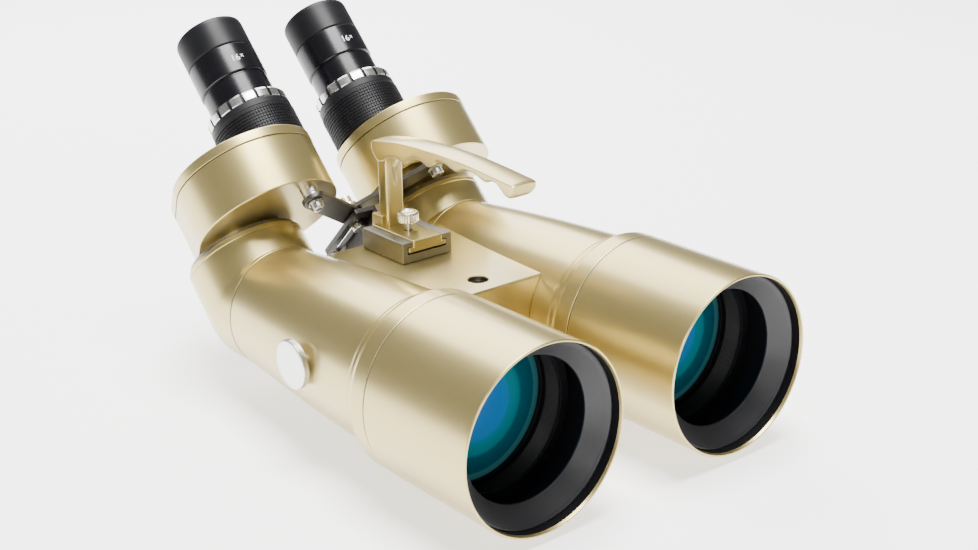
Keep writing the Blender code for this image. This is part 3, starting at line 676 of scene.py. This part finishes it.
    # ---- turret collar and bearing ring
    done(turned(P + "collar_band", [(29.5, 28.3, 0.1), (34.1, 28.3, 0.1), (34.45, 28.7, 0.3), (34.45, 30.9, 0.5),
                                    (33.9, 31.3, 0.2), (29.5, 31.3, 0.1)], 112, M_GOLD, TM),
         "frame", "gold_paint", P + "turret_collar")
    done(turned(P + "bearing_race", [(25.8, 31.6, 0.1), (32.6, 31.6, 0.1), (32.6, 33.6, 0.35), (32.1, 33.9, 0.2),
                                     (30.0, 33.9, 0.1), (29.8, 33.6, 0.1), (25.8, 33.6, 0.1)], 112, M_STEEL, TM),
         "frame", "steel", P + "bearing_ring")

    # ---- prism housing and cover
    dc = tl((8.8, 23.3))
    NL = 160

    def drum(off):
        return hull_outline(dc, 41.9 + off, (0, 0), 27.0 + off, NL)
    loops = [[(x, y, z) for x, y in drum(-i)] for i, z in edge_steps(36.3, 67.0, 0.7, 0.25, 4)]
    cup = prism_stack(P + "prism_casting", loops, TM, M_GOLD)
    hol = prism_stack("t", [[(x, y, z) for x, y in drum(-2.2)] for z in (38.9, 72.0)], TM, None)
    cut(cup, hol)
    neck = turned("t", [(0, 29.0, 0), (25.3, 29.0, 0), (25.3, 37.6, 0), (0, 37.6, 0)], 96, None, TM)
    cut(cup, neck, "UNION")
    bore = turned("t", [(0, 27.0, 0), (22.8, 27.0, 0), (22.8, 42.0, 0), (0, 42.0, 0)], 96, None, TM)
    cut(cup, bore)
    cup.data.materials.clear()
    cup.data.materials.append(M_GOLD)
    resmooth(cup, 40)
    done(cup, P + "turret", "gold_paint", P + "prism_housing")
    loops = [[(x, y, z) for x, y in drum(0.3 - i)] for i, z in edge_steps(67.6, 73.5, 0.3, 1.1, 5)]
    cov = prism_stack(P + "cover_plate", loops, TM, M_GOLD)
    port = turned("t", [(0, 60.0, 0), (21.4, 60.0, 0), (21.4, 80.0, 0), (0, 80.0, 0)], 96, None, EM)
    cut(cov, port)
    cov.data.materials.clear()
    cov.data.materials.append(M_GOLD)
    resmooth(cov, 40)
    done(cov, P + "turret", "gold_paint", P + "housing_cover")

    # ---- focusing ring with its square-cut rubber grip
    cols, rows = 92, 11
    z_lo, z_hi = 74.6, 95.2
    zs = []
    for j in range(rows):
        z0 = z_lo + (z_hi - z_lo) * j / rows
        dz = (z_hi - z_lo) / rows
        zs += [(z0 + dz * f, lv) for f, lv in ((0.0, 0), (0.22, 0), (0.34, 1), (0.88, 1))]
    zs.append((z_hi, 0))
    angs, lev = [], []
    for i in range(cols):
        a0 = 2 * pi * i / cols
        da = 2 * pi / cols
        for f, lv in ((0.0, 0), (0.22, 0), (0.34, 1), (0.88, 1)):
            angs.append(a0 + da * f)
            lev.append(lv)
    lookup = dict(zip(angs, lev))
    zlev = {round(z, 5): lv for z, lv in zs}
    prof = [(21.4, 73.8), (24.1, 73.8), (24.5, 74.3)] + [(24.8, z) for z, _ in zs] + \
           [(24.3, 95.7), (24.15, 96.2), (24.45, 96.7), (24.45, 99.8), (24.05, 100.4), (21.4, 100.4)]

    def grip(a, r, z):
        if r == 24.8:
            return 24.8 - (0.0 if (lookup[a] and zlev.get(round(z, 5), 0)) else 0.6)
        return r
    bm = ring_mesh(prof, 0, grip, angs)
    done(finish_piece(P + "focus_grip", bm, EM, M_RUBBER, angle=28), P + "focus_ring", "rubber", P + "focus_ring")

    # ---- castellated lock ring
    nb = 18
    angs = []
    for i in range(nb):
        a0 = 2 * pi * i / nb
        w = 0.040
        angs += [a0 - w, a0 - w + 0.004, a0, a0 + w - 0.004, a0 + w]
        for k in range(1, 6):
            angs.append(a0 + w + (2 * pi / nb - 2 * w) * k / 6.0)
    angs = sorted(angs)

    def castle(a, r, z):
        if r < 22.6:
            return r
        k = (a / (2 * pi / nb)) % 1.0
        d = min(k, 1 - k) * (2 * pi / nb)
        return min(r, 22.9) if d < 0.038 else r
    p = soft([(20.15, 100.7, 0.1), (24.0, 100.7, 0.1), (24.3, 101.2, 0.2), (24.3, 105.4, 0.4), (23.2, 107.0, 0.4),
              (20.15, 107.0, 0.1)], 0.2, 3)
    bm = ring_mesh(p, 0, castle, angs)
    lock = finish_piece(P + "castle_ring", bm, EM, [M_BRIGHT, M_SLOT_SHADE], angle=30)
    # faces inside the castellation slots get the near-black finish: painted shade in the slots of the bright ring
    inv = EM.inverted()
    for f in lock.data.polygons:
        c = inv @ (f.center / MM)
        a = atan2(c.y, c.x) % (2 * pi)
        k = (a / (2 * pi / nb)) % 1.0
        d = min(k, 1 - k) * (2 * pi / nb)
        if d < 0.0385 and hypot(c.x, c.y) > 22.0 and c.z > 100.8:
            f.material_index = 1
    done(lock, P + "lock_ring", "bright_steel", P + "lock_ring")

    # ---- eyepiece
    done(turned(P + "eyepiece_barrel", [(16.0, 84.0), (18.8, 84.0), (18.8, 100.5), (19.8, 101.2, 0.3), (19.8, 120.6, 0.3),
                                        (19.35, 121.1, 0.15), (19.35, 121.9, 0.15), (20.1, 122.2, 0.2),
                                        (20.5, 122.8, 0.4), (20.5, 140.1, 0.35), (20.1, 140.7, 0.15), (17.5, 140.7),
                                        (17.5, 150.0, 0.3), (15.0, 150.0, 0.3), (15.0, 141.0), (13.0, 141.0),
                                        (13.0, 96.0), (16.0, 96.0)], 112, M_GLOSS, EM),
         P + "eyepiece", "black_gloss", P + "eyepiece_body")
    done(turned(P + "rubber_eyecup", [(17.8, 141.0, 0.1), (20.0, 141.0, 0.2), (20.4, 141.5, 0.3), (20.4, 157.6, 1.2),
                                      (20.05, 159.3, 0.9), (19.2, 160.0, 0.6), (18.5, 159.6, 0.5), (18.2, 158.0, 0.8),
                                      (17.9, 151.5, 0.3), (17.8, 150.5, 0.1)], 112, M_CUP, EM, n=4),
         P + "eyepiece", "rubber", P + "eyecup")
    done(turned(P + "eye_lens_glass", dome(14.7, 143.4, 141.6, 8)[::-1] + dome(14.7, 147.4, 149.2, 12), 72, M_EYELENS,
                EM, rad=0), P + "eyepiece", "coated_glass", P + "eye_lens")

    # ---- magnification mark, wrapped on the band
    bm = bmesh.new()
    for txt, size, dx, dy in (("16", 5.6, -1.3, 0.0), ("x", 3.9, 3.1, 1.1)):
        cu = bpy.data.curves.new(P + "mark", "FONT")
        cu.body = txt
        cu.size = size
        cu.align_x = "CENTER"
        cu.align_y = "CENTER"
        cu.extrude = 0.10
        cu.offset = 0.03
        cu.resolution_u = 5
        tob = bpy.data.objects.new("t", cu)
        bpy.context.scene.collection.objects.link(tob)
        dg = bpy.context.evaluated_depsgraph_get()
        tme = bpy.data.meshes.new_from_object(tob.evaluated_get(dg))
        bpy.data.objects.remove(tob, do_unlink=True)
        tme.transform(Matrix.Translation((dx, dy, 0)))
        bm.from_mesh(tme)
    bmesh.ops.remove_doubles(bm, verts=bm.verts, dist=1e-4)
    a_mark = radians(-90.0 + MARK_ANGLE[S])
    for v in bm.verts:
        a = a_mark + v.co.x / 20.5
        rr = 20.50 + 0.03 + v.co.z * 0.35
        z = 130.4 + v.co.y
        v.co = Vector((rr * cos(a), rr * sin(a), z))
    done(finish_piece(P + "power_mark", bm, EM, M_WHITE, smooth=False), P + "eyepiece", "bright_steel")

    # ---- lever stud with a socket head, and the lever
    s0 = {"right": 27.4, "left": 30.6}[S]
    st = tl((22.0, 54.0))
    stud = turned(P + "stud_screw", [(0, 36.3, 0), (5.0, 36.3, 0.1), (5.0, s0 + 4.9, 0.3), (4.4, s0 + 4.7, 0.1),
                                     (4.4, s0 + 4.2, 0.1), (5.0, s0 + 4.0, 0.3), (5.0, s0 + 2.9, 0.2), (2.2, s0 + 2.9, 0),
                                     (2.2, s0 - 0.15, 0), (4.5, s0 - 0.15, 0.2), (4.5, s0 - 1.0, 0.2), (3.6, s0 - 1.1, 0.1),
                                     (3.6, s0 - 4.9, 0.6), (0, s0 - 5.1, 0)], 64, M_STUD, TM, centre=st)
    hexa = slab("t", circle(st[0], st[1], 2.1, 6), s0 - 9.0, s0 - 3.4, TM, None, r0=0.01, r1=0.01, n=1)
    cut(stud, hexa)
    stud.data.materials.clear()
    stud.data.materials.append(M_STUD)
    resmooth(stud, 38)
    done(stud, P + "turret", "bright_steel", P + "lever_stud")
    pin = (inb * HALF, -18.6)
    lev_ob = slab(P + "lever_bar", capsule(st, pin, 6.9), s0, s0 + 2.8, TM, M_LEVER, r0=0.35, r1=0.35)
    for c, r in ((st, 2.6), (pin, 4.3)):
        cut(lev_ob, slab("t", circle(c[0], c[1], r, 32), s0 - 2, s0 + 5, TM, None, r0=0.01, r1=0.01, n=1))
    lev_ob.data.materials.clear()
    lev_ob.data.materials.append(M_LEVER)
    resmooth(lev_ob, 40)
    done(lev_ob, P + "lever", "grey_anodised", P + "lever")

    # ---- inner pieces keep their solids and get a finish of their own
    for k, m in (("elbow_prism", M_PRISM), ("rhomboid_prism", M_PRISM), ("field_lens", M_PRISM),
                 ("filter_frame", M_BLACK), ("filter_glass", M_FILTER), ("focus_tube", M_BLACK)):
        o = NODES[P + k]
        o.data.materials.clear()
        o.data.materials.append(m)


MARK_ANGLE = {"right": -5.6, "left": 0.0}
for _s in ("right", "left"):
    side(_s)


# =================================================================== centre
def shop_slab(name, outline, axis, a0, a1, mat, r0=0.4, r1=0.4, n=3, rads=None, **kw):
    """Extruded outline in the shop frame along x, y or z, with rounded end edges."""
    if axis == "z":
        M = SHOP
    elif axis == "y":                       # outline (x, z); local z along +y
        M = SHOP @ Matrix(((1, 0, 0, 0), (0, 0, 1, 0), (0, 1, 0, 0), (0, 0, 0, 1)))
    else:                                   # outline (y, z); local z along +x
        M = SHOP @ Matrix(((0, 0, 1, 0), (1, 0, 0, 0), (0, 1, 0, 0), (0, 0, 0, 1)))
    if rads is not None:
        return slab_poly(name, outline, rads, a0, a1, M, mat, r0, r1, n, **kw)
    return slab(name, outline, a0, a1, M, mat, r0, r1, n, **kw)


def rounded(outline, rads, n=4):
    o = [(p[0], p[1], r) for p, r in zip(outline, rads)]
    return soft(o, 0.3, n)


# ---- bridge
bridge = shop_slab("bridge_casting", [(-43, -22), (43, -22), (43, 26.6), (-43, 26.6)], "y", 113.5, 216.0, M_GOLD,
                   r0=1.3, r1=1.0, n=5, rads=[2.0, 2.0, 1.0, 1.0])
for sx in (-1, 1):
    BM = place((sx * HALF, FRONT_Y, AXIS_H), (0, 1, 0))
    ys = [100.0 + 121.2 * k / 16.0 for k in range(17)]
    prof = [(0, 104.0, 0), (barrel_r(104) + 0.3, 104.0, 0)] + [(barrel_r(y) + 0.3, y, 0) for y in ys if y > 105]
    prof += [(0, 221.2, 0)]
    cut(bridge, turned("t", prof, 128, None, BM, rad=0))
cav = shop_slab("t", [(-13, 140), (13, 140), (13, 190), (-13, 190)], "z", -30, 20.1, None, r0=0.01, r1=0.01, n=1)
cut(bridge, cav)
well = turned("t", [(0, 17.6, 0), (3.6, 17.6, 0), (4.3, 18.4, 0), (4.3, 19.4, 0), (3.9, 19.7, 0), (4.3, 20.1, 0),
                    (3.9, 20.5, 0), (4.3, 20.9, 0), (3.9, 21.3, 0), (4.3, 21.7, 0), (4.3, 24.0, 0), (5.5, 24.0, 0),
                    (5.5, 26.1, 0), (5.9, 26.6, 0), (5.9, 30.0, 0), (0, 30.0, 0)], 48, None, SHOP @ Matrix.Translation((0, 129.1, 0)), rad=0)
cut(bridge, well)
bridge.data.materials.clear()
bridge.data.materials.append(M_GOLD)
bridge.data.materials.append(M_STEEL)
# faces inside the tripod well get the dark turned steel: partly the steel thread, partly painted shade down the hole
for f in bridge.data.polygons:
    c = f.center / MM - Vector((0, FRONT_Y + 129.1, 0))
    if hypot(c.x, c.y) < 5.7 and c.z < AXIS_H + 26.3:
        f.material_index = 1
resmooth(bridge, 38)
done(bridge, "frame", "gold_paint", "bridge")

# ---- tripod foot
foot = shop_slab("tripod_rail", [(-21, -29), (-14, -33), (-14, -43.5), (-22, -46), (-22, -52), (22, -52), (22, -46),
                                 (14, -43.5), (14, -33), (21, -29), (21, -22.3), (-21, -22.3)], "y", 126.0, 194.0, M_ANOD,
                 r0=0.6, r1=0.6, rads=[1.5, 1, 1, 1, 0.7, 0.7, 1, 1, 1, 1.5, 0.6, 0.6])
for y, r in ((144.0, 3.2), (176.0, 4.8)):
    cut(foot, turned("t", [(0, -56, 0), (r + 1.2, -56, 0), (r + 1.2, -52, 0), (r, -51.0, 0), (r, -40, 0), (0, -40, 0)], 48, None,
                     SHOP @ Matrix.Translation((0, y, 0)), rad=0))
foot.data.materials.clear()
foot.data.materials.append(M_ANOD)
resmooth(foot, 38)
done(foot, "frame", "grey_anodised", "tripod_foot")

# ---- handle shoe
done(shop_slab("rail_shoe", [(-16.6, 26.9), (16.6, 26.9), (16.6, 38.6), (10.4, 38.6), (10.4, 35.7), (13.3, 35.7),
                             (13.3, 31.6), (-13.3, 31.6), (-13.3, 35.7), (-10.4, 35.7), (-10.4, 38.6), (-16.6, 38.6)],
               "y", 173.0, 211.0, M_ANOD, r0=0.3, r1=0.3, rads=[0.4, 0.4, 0.5, 0.4, 0.3, 0.3, 0.4, 0.4, 0.3, 0.3, 0.4, 0.5]),
     "frame", "grey_anodised", "handle_shoe")


# ---- carry handle
def interp(tab, x):
    for (x0, v0), (x1, v1) in zip(tab, tab[1:]):
        if x <= x1:
            t = (x - x0) / (x1 - x0)
            t = max(0.0, min(1.0, t))
            return v0 + (v1 - v0) * t
    return tab[-1][1]


def smooth_interp(tab, x):
    """Catmull-Rom through (x, v) pairs."""
    n = len(tab)
    if x <= tab[0][0]:
        return tab[0][1]
    if x >= tab[-1][0]:
        return tab[-1][1]
    for i in range(n - 1):
        if tab[i][0] <= x <= tab[i + 1][0]:
            break
    x0, v0 = tab[i]
    x1, v1 = tab[i + 1]
    m0 = (v1 - tab[i - 1][1]) / (x1 - tab[i - 1][0]) if i > 0 else (v1 - v0) / (x1 - x0)
    m1 = (tab[i + 2][1] - v0) / (tab[i + 2][0] - x0) if i + 2 < n else (v1 - v0) / (x1 - x0)
    h = x1 - x0
    t = (x - x0) / h
    return ((2 * t**3 - 3 * t**2 + 1) * v0 + (t**3 - 2 * t**2 + t) * h * m0 + (-2 * t**3 + 3 * t**2) * v1
            + (t**3 - t**2) * h * m1)


TOP = [(90.0, 88.5), (99.7, 89.3), (115.6, 90.7), (132.0, 91.8), (148.8, 92.3), (166.0, 92.0), (184.0, 91.1),
       (198.0, 89.5), (211.4, 87.4), (212.6, 86.9)]
LOW = [(90.0, 82.7), (92.0, 81.5), (94.8, 81.1), (97.2, 82.0), (99.9, 84.0), (102.5, 86.2), (104.4, 87.0), (107.0, 87.1),
       (110.0, 86.0), (112.6, 85.4), (115.6, 86.1), (119.8, 87.7), (124.0, 88.4), (130.0, 87.8), (134.2, 86.0), (136.6, 85.4),
       (140.2, 86.0), (144.0, 87.5), (148.0, 88.0), (152.5, 87.3), (157.0, 84.4), (160.3, 82.9), (164.0, 83.7),
       (168.5, 84.8), (173.7, 84.4), (178.6, 81.6), (181.6, 79.7), (184.8, 80.5), (189.0, 81.0), (193.5, 80.6), (198.0, 79.3),
       (202.0, 77.2), (204.8, 76.3), (207.2, 76.9), (209.6, 79.2), (211.7, 81.9), (212.6, 83.6)]


def grip_mesh():
    """Flat near side, arched top with a soft crown, rounded belly with finger hollows, blunt hooked nose."""
    bm = bmesh.new()
    NY = 190
    ys = [90.0 + 122.6 * k / NY for k in range(NY + 1)]
    rings = []
    H = 8.0
    for k, y in enumerate(ys):
        zt, zb = smooth_interp(TOP, y), smooth_interp(LOW, y)
        crown = 0.9 + 0.7 * sin(pi * (y - 90.0) / 122.6)
        thick = zt - zb
        rn = min(1.6, thick * 0.3)             # near lower edge
        rf = min(5.2, thick * 0.62)            # far lower edge
        pts = []
        for j in range(13):
            u = -1 + 2 * j / 12.0
            x = u * (H - 0.25)
            z = zt - 0.15 + crown * (1 - abs(u) ** 2.2) * 0.55
            if j in (0, 12):
                z = zt - 0.22
            pts.append((x, z))
        for j in range(5):
            t = j / 4.0
            pts.append((H, zt - 0.5 + (zb + rf - zt + 0.5) * t))
        for j in range(1, 8):
            a = pi / 2 * j / 8.0
            pts.append((H - rf * 1.25 * (1 - cos(a)), zb + rf * (1 - sin(a))))
        xf = H - rf * 1.25
        for j in range(5):
            t = j / 4.0
            pts.append((xf + (-H + rn - xf) * t, zb + 0.0))
        for j in range(1, 5):
            a = pi / 2 * j / 4.0
            pts.append((-H + rn * (1 - sin(a)), zb + rn * (1 - cos(a))))
        for j in range(1, 5):
            t = j / 4.0
            pts.append((-H, zb + rn + (zt - 0.5 - zb - rn) * t))
        e = 0.0
        if k < 4:
            e = (0.75, 0.32, 0.11, 0.02)[k]
        if NY - k < 4:
            e = (1.0, 0.42, 0.14, 0.03)[NY - k]
        zc = (zt + zb) / 2
        ring = []
        for x, z in pts:
            if e:
                x *= 1 - e / H
                z = zc + (z - zc) * (1 - e / max(2.5, thick / 2))
            ring.append(bm.verts.new((x, y, z)))
        rings.append(ring)
    n = len(rings[0])
    for a, b in zip(rings, rings[1:]):
        for i in range(n):
            j = (i + 1) % n
            bm.faces.new((a[i], a[j], b[j], b[i]))
    bm.faces.new(rings[0][::-1])
    bm.faces.new(rings[-1])
    return bm


done(finish_piece("carry_handle_grip", grip_mesh(), SHOP, M_GOLD, angle=33), "handle", "gold_paint", "handle")


def post_mesh():
    """Upright with a rounded near edge, flaring into the grip, with a scooped relief on its front."""
    bm = bmesh.new()
    rings = []
    NZ = 120
    for k in range(NZ + 1):
        z = 38.0 + 45.0 * k / NZ
        fl = max(0.0, (z - 73.0) / 10.0) ** 2 * 2.2
        x0, x1, y0, y1 = -5.5 - fl * 0.3, 5.5 + fl * 0.3, 201.3 - fl, 210.0
        q = [(x0, y0, 2.3), (x1, y0, 1.2), (x1, y1, 1.4), (x0, y1, 1.4)]
        lp = []
        for i in range(4):
            p = Vector(q[i][:2])
            va, vc = Vector(q[i - 1][:2]) - p, Vector(q[(i + 1) % 4][:2]) - p
            t = q[i][2]
            p0, p1 = p + va.normalized() * t, p + vc.normalized() * t
            for j in range(7):
                u = j / 6.0
                w = p0 * (1 - u) ** 2 + p * 2 * u * (1 - u) + p1 * u * u
                lp.append((w.x, w.y))
            if i == 0:                        # extra stations over the front face
                for j in range(1, 30):
                    x = p1.x + (x1 - 1.2 - p1.x) * j / 30.0
                    lp.append((x, y0))
        ring = []
        for x, y in lp:
            if abs(y - y0) < 1e-6 and x0 + 2 < x < x1 - 0.8 and z > 62.0:
                t = (z - 62.0) / 21.0
                half = 0.6 + 3.2 * t
                c = 0.2
                d = 1 - ((x - c) / half) ** 2
                if d > 0:
                    y = y + 2.2 * d ** 0.7 * min(1.0, t * 2.0)
            ring.append(bm.verts.new((x, y, z)))
        rings.append(ring)
    n = len(rings[0])
    for a, b in zip(rings, rings[1:]):
        for i in range(n):
            j = (i + 1) % n
            bm.faces.new((a[i], a[j], b[j], b[i]))
    bm.faces.new(rings[0][::-1])
    bm.faces.new(rings[-1])
    return bm


done(finish_piece("carry_handle_post", post_mesh(), SHOP, M_GOLD, angle=40), "handle", "gold_paint")
done(shop_slab("carry_handle_block", [(-8.2, 203.7), (8.2, 203.7), (8.2, 213.3), (-8.2, 213.3)], "z", 38.0, 45.2, M_GOLD,
               r0=0.2, r1=0.5, rads=[0.7, 0.7, 0.7, 0.7]), "handle", "gold_paint")
hfoot = shop_slab("carry_handle_foot", [(-12.6, 32.6), (12.6, 32.6), (12.6, 35.3), (9.7, 35.3), (9.7, 39.0),
                                        (-9.7, 39.0), (-9.7, 35.3), (-12.6, 35.3)], "y", 172.2, 211.6, M_GOLD,
                  r0=0.9, r1=0.5, n=4, rads=[0.5, 0.5, 0.5, 0.3, 0.9, 0.9, 0.3, 0.5], angle=30)
cut(hfoot, turned("t", [(0, 29.0, 0), (2.3, 29.0, 0), (2.3, 45.0, 0), (0, 45.0, 0)], 32, None,
                  SHOP @ Matrix.Translation((0, 190.2, 0)), rad=0))
hfoot.data.materials.clear()
hfoot.data.materials.append(M_GOLD)
resmooth(hfoot, 30)
done(hfoot, "handle", "gold_paint")


# ---- thumbscrew with a fluted head
def flutes(a, r, z):
    if r > 5.0 and 43.9 < z < 49.5:
        return r - 0.30 * (0.5 + 0.5 * cos(20 * a)) ** 2
    return r


tp = [(0, 31.9, 0), (1.9, 31.9, 0.2), (1.9, 43.5, 0.1), (4.6, 43.5, 0.2), (5.4, 43.9, 0.2), (6.0, 44.6, 0.2),
      (6.0, 46.0, 0), (6.0, 47.5, 0), (6.0, 48.8, 0.3), (5.2, 49.7, 0.3), (4.3, 49.8, 0.3), (3.6, 49.3, 0.4), (0, 49.1, 0)]
done(turned("fluted_thumbscrew", tp, 200, M_BRIGHT, SHOP @ Matrix.Translation((0, 190.2, 0)), rfun=flutes, angle=45),
     "thumbscrew", "bright_steel", "thumbscrew")

# ---- linkage bracket and centre pin
CM = place((0, FRONT_Y + ELBOW_M, AXIS_H), E)
FL0, FL1 = 23.6, 26.6


def sn(s, n):
    return (ELBOW_M + (s - n) * cos(BEND), (s + n) * sin(BEND))


br = slab_poly("slotted_bracket", [(-7.5, -33), (7.5, -33), (7.5, 16), (-7.5, 16)], [1.5, 1.5, 4, 4], FL0, FL1, CM, M_ANOD,
               r0=0.3, r1=0.3, cn=6)
web = [(216.3, -14.0), (216.3, 24.0), sn(FL0 + 0.5, 33.0 - 0.3), sn(FL0 + 0.5, -8.0), (262.0, 4.0), (250.0, -14.0)]
cut(br, shop_slab("t", web, "x", 4.2, 7.2, None, r0=0.3, r1=0.3, rads=[0.5, 1, 0.4, 0.4, 4, 4]), "UNION")
cut(br, slab("t", capsule((0, -18.6 - 4.6), (0, 13.4), 2.6), FL0 - 3, FL1 + 3, CM, None, r0=0.01, r1=0.01, n=1))
br.data.materials.clear()
# the near-black bracket finish is painted shade under the barrels
br.data.materials.append(M_BRACKET_SHADED)
resmooth(br, 38)
done(br, "frame", "grey_anodised", "link_bracket")
pp = [(0, 20.0, 0), (3.9, 20.0, 0.5), (3.9, 23.2, 0.1), (2.2, 23.2, 0), (2.2, 33.8, 0), (5.6, 33.8, 0.3), (5.6, 36.2, 0.5),
      (3.8, 36.6, 0.3), (3.8, 41.2, 0.8), (0, 42.0, 0)]
done(turned("centre_pin", pp, 48, M_BRIGHT, CM, centre=(0, -18.6)), "link_slider", "bright_steel", "link_pin")

# ===================================================================== stage
bpy.ops.mesh.primitive_plane_add(size=8, location=(0, 0, -0.0005))
floor = bpy.context.object
floor.name = "studio_floor"
fm, _, fb = principled("floor_paper", (0.90, 0.90, 0.90), 0.9, 0.0)
fb.inputs["Specular IOR Level"].default_value = 0.0
fb.inputs["Emission Color"].default_value = (1, 1, 1, 1)
fb.inputs["Emission Strength"].default_value = 1.35
floor.data.materials.append(fm)

world = bpy.context.scene.world or bpy.data.worlds.new("world")
bpy.context.scene.world = world
world.use_nodes = True
world.node_tree.nodes["Background"].inputs["Color"].default_value = (1.0, 0.98, 0.93, 1)
world.node_tree.nodes["Background"].inputs["Strength"].default_value = 0.235


def area(name, loc, target, size, power, size_y=None):
    li = bpy.data.lights.new(name, "AREA")
    li.energy = power
    li.size = size
    if size_y:
        li.shape = "RECTANGLE"
        li.size_y = size_y
    ob = bpy.data.objects.new(name, li)
    bpy.context.scene.collection.objects.link(ob)
    ob.location = loc
    ob.rotation_euler = (Vector(target) - Vector(loc)).to_track_quat("-Z", "Y").to_euler()
    return ob


area("overhead", (0.42, 1.12, 1.0), (0, 0.0, 0.05), 1.1, 30.0, 1.2)
area("front_left", (-1.5, -1.6, 1.1), (0, 0, 0.05), 0.7, 18.0)
area("floor_wash", (0.0, -0.1, 3.0), (0, 0.2, 0), 1.6, 300.0)

# ==================================================================== camera
az, el, roll = radians(-38.8434), radians(20.1874), radians(-0.9874)
back = Vector((sin(az) * cos(el), -cos(az) * cos(el), sin(el)))
right = Vector((0, 0, 1)).cross(back).normalized()
up = back.cross(right)
R = cos(roll) * right + sin(roll) * up
U = -sin(roll) * right + cos(roll) * up
UNIT = 0.0465
pos = Vector((-10.77509 * UNIT, -10.80590 * UNIT + FRONT_Y * MM, 6.99687 * UNIT + AXIS_H * MM))
cam = bpy.data.cameras.new("camera")
cam.lens = 1623.78 / 978 * 36.0
cam.sensor_width = 36.0
cam.sensor_fit = "HORIZONTAL"
cam.clip_start = 0.01
cob = bpy.data.objects.new("camera", cam)
bpy.context.scene.collection.objects.link(cob)
cob.matrix_world = Matrix(((R.x, U.x, back.x, pos.x), (R.y, U.y, back.y, pos.y), (R.z, U.z, back.z, pos.z), (0, 0, 0, 1)))
bpy.context.scene.camera = cob

bpy.context.view_layer.update()
